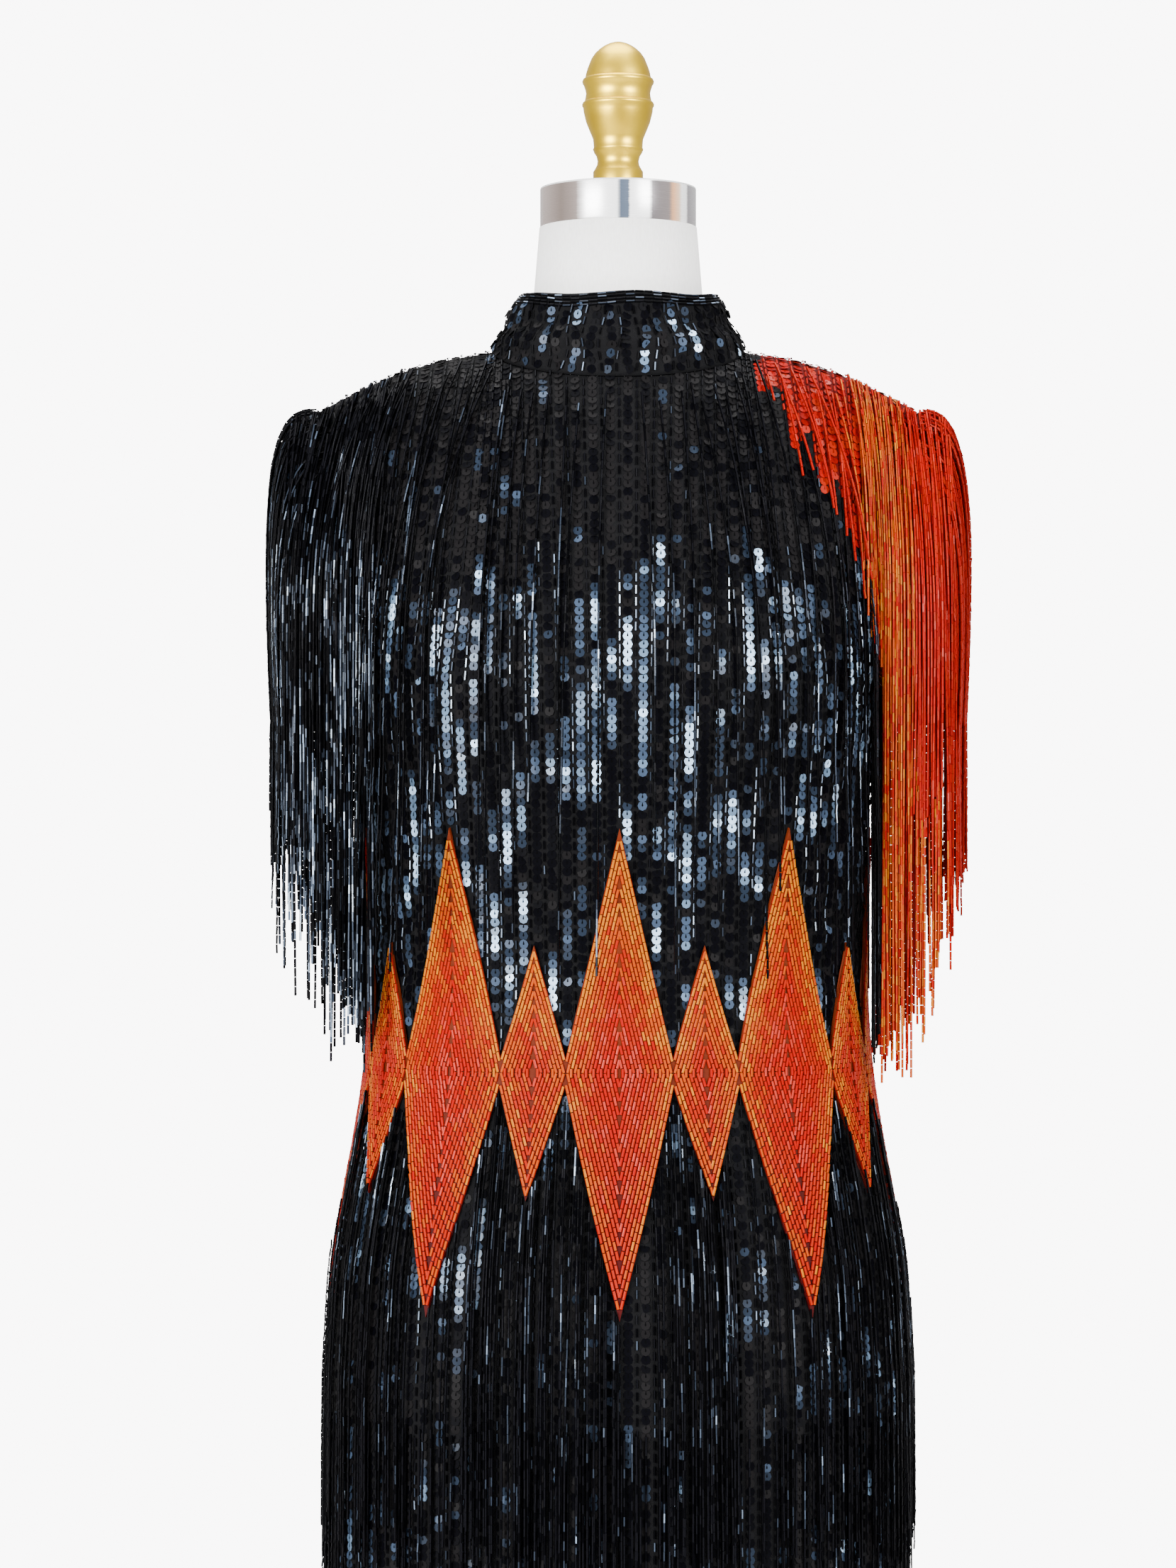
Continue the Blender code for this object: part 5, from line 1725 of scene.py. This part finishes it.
WALL = 9.0
FILL = 0.8
world = bpy.data.worlds.new("studio")
world.use_nodes = True
sky = world.node_tree.nodes["Background"]
sky.inputs["Color"].default_value = (1.0, 0.985, 0.99, 1)
seen = world.node_tree.nodes.new("ShaderNodeLightPath")
strength = world.node_tree.nodes.new("ShaderNodeMapRange")
strength.inputs["To Min"].default_value = FILL
strength.inputs["To Max"].default_value = WALL
world.node_tree.links.new(seen.outputs["Is Camera Ray"], strength.inputs["Value"])
world.node_tree.links.new(strength.outputs["Result"], sky.inputs["Strength"])
bpy.context.scene.world = world


def soft_light(name, place, target, size, power):
    """A large square light that faces a target."""
    lamp = bpy.data.lights.new(name, "AREA")
    lamp.size = size
    lamp.energy = power
    ob = bpy.data.objects.new(name, lamp)
    ob.location = place
    ob.rotation_euler = (Vector(target) - Vector(place)).to_track_quat("-Z", "Y").to_euler()
    bpy.context.scene.collection.objects.link(ob)
    print(name, "shines with", power, "W")


soft_light("window_left", (-2.0, -2.6, 1.8), (0, 0, 1.1), 1.4, 280)
soft_light("window_right", (2.2, -2.5, 2.2), (0, 0, 1.1), 1.2, 200)
soft_light("overhead", (0, 0.2, 3.3), (0, 0, 1.2), 1.8, 90)

# %% Camera
PIXEL = 0.45 * MM
DISTANCE = 2.6
PICTURE_WIDTH, PICTURE_HEIGHT = 1659, 2212
KNOB_COLUMN, NECK_POINT_ROW = 872, 498
SENSOR = 36
camera_data = bpy.data.cameras.new("camera")
camera_data.sensor_width = SENSOR
camera_data.lens = SENSOR * DISTANCE / (PICTURE_HEIGHT * PIXEL)
camera = bpy.data.objects.new("camera", camera_data)
left_of_knob = (PICTURE_WIDTH / 2 - KNOB_COLUMN) * PIXEL
below_neck = (NECK_POINT_ROW - PICTURE_HEIGHT / 2) * PIXEL
camera.location = (left_of_knob, -DISTANCE, NECK_POINT + below_neck)
camera.rotation_euler = (math.pi / 2, 0, 0)
bpy.context.scene.collection.objects.link(camera)
bpy.context.scene.camera = camera
print("lens", round(camera_data.lens, 1), "camera at", [round(c, 3) for c in camera.location])
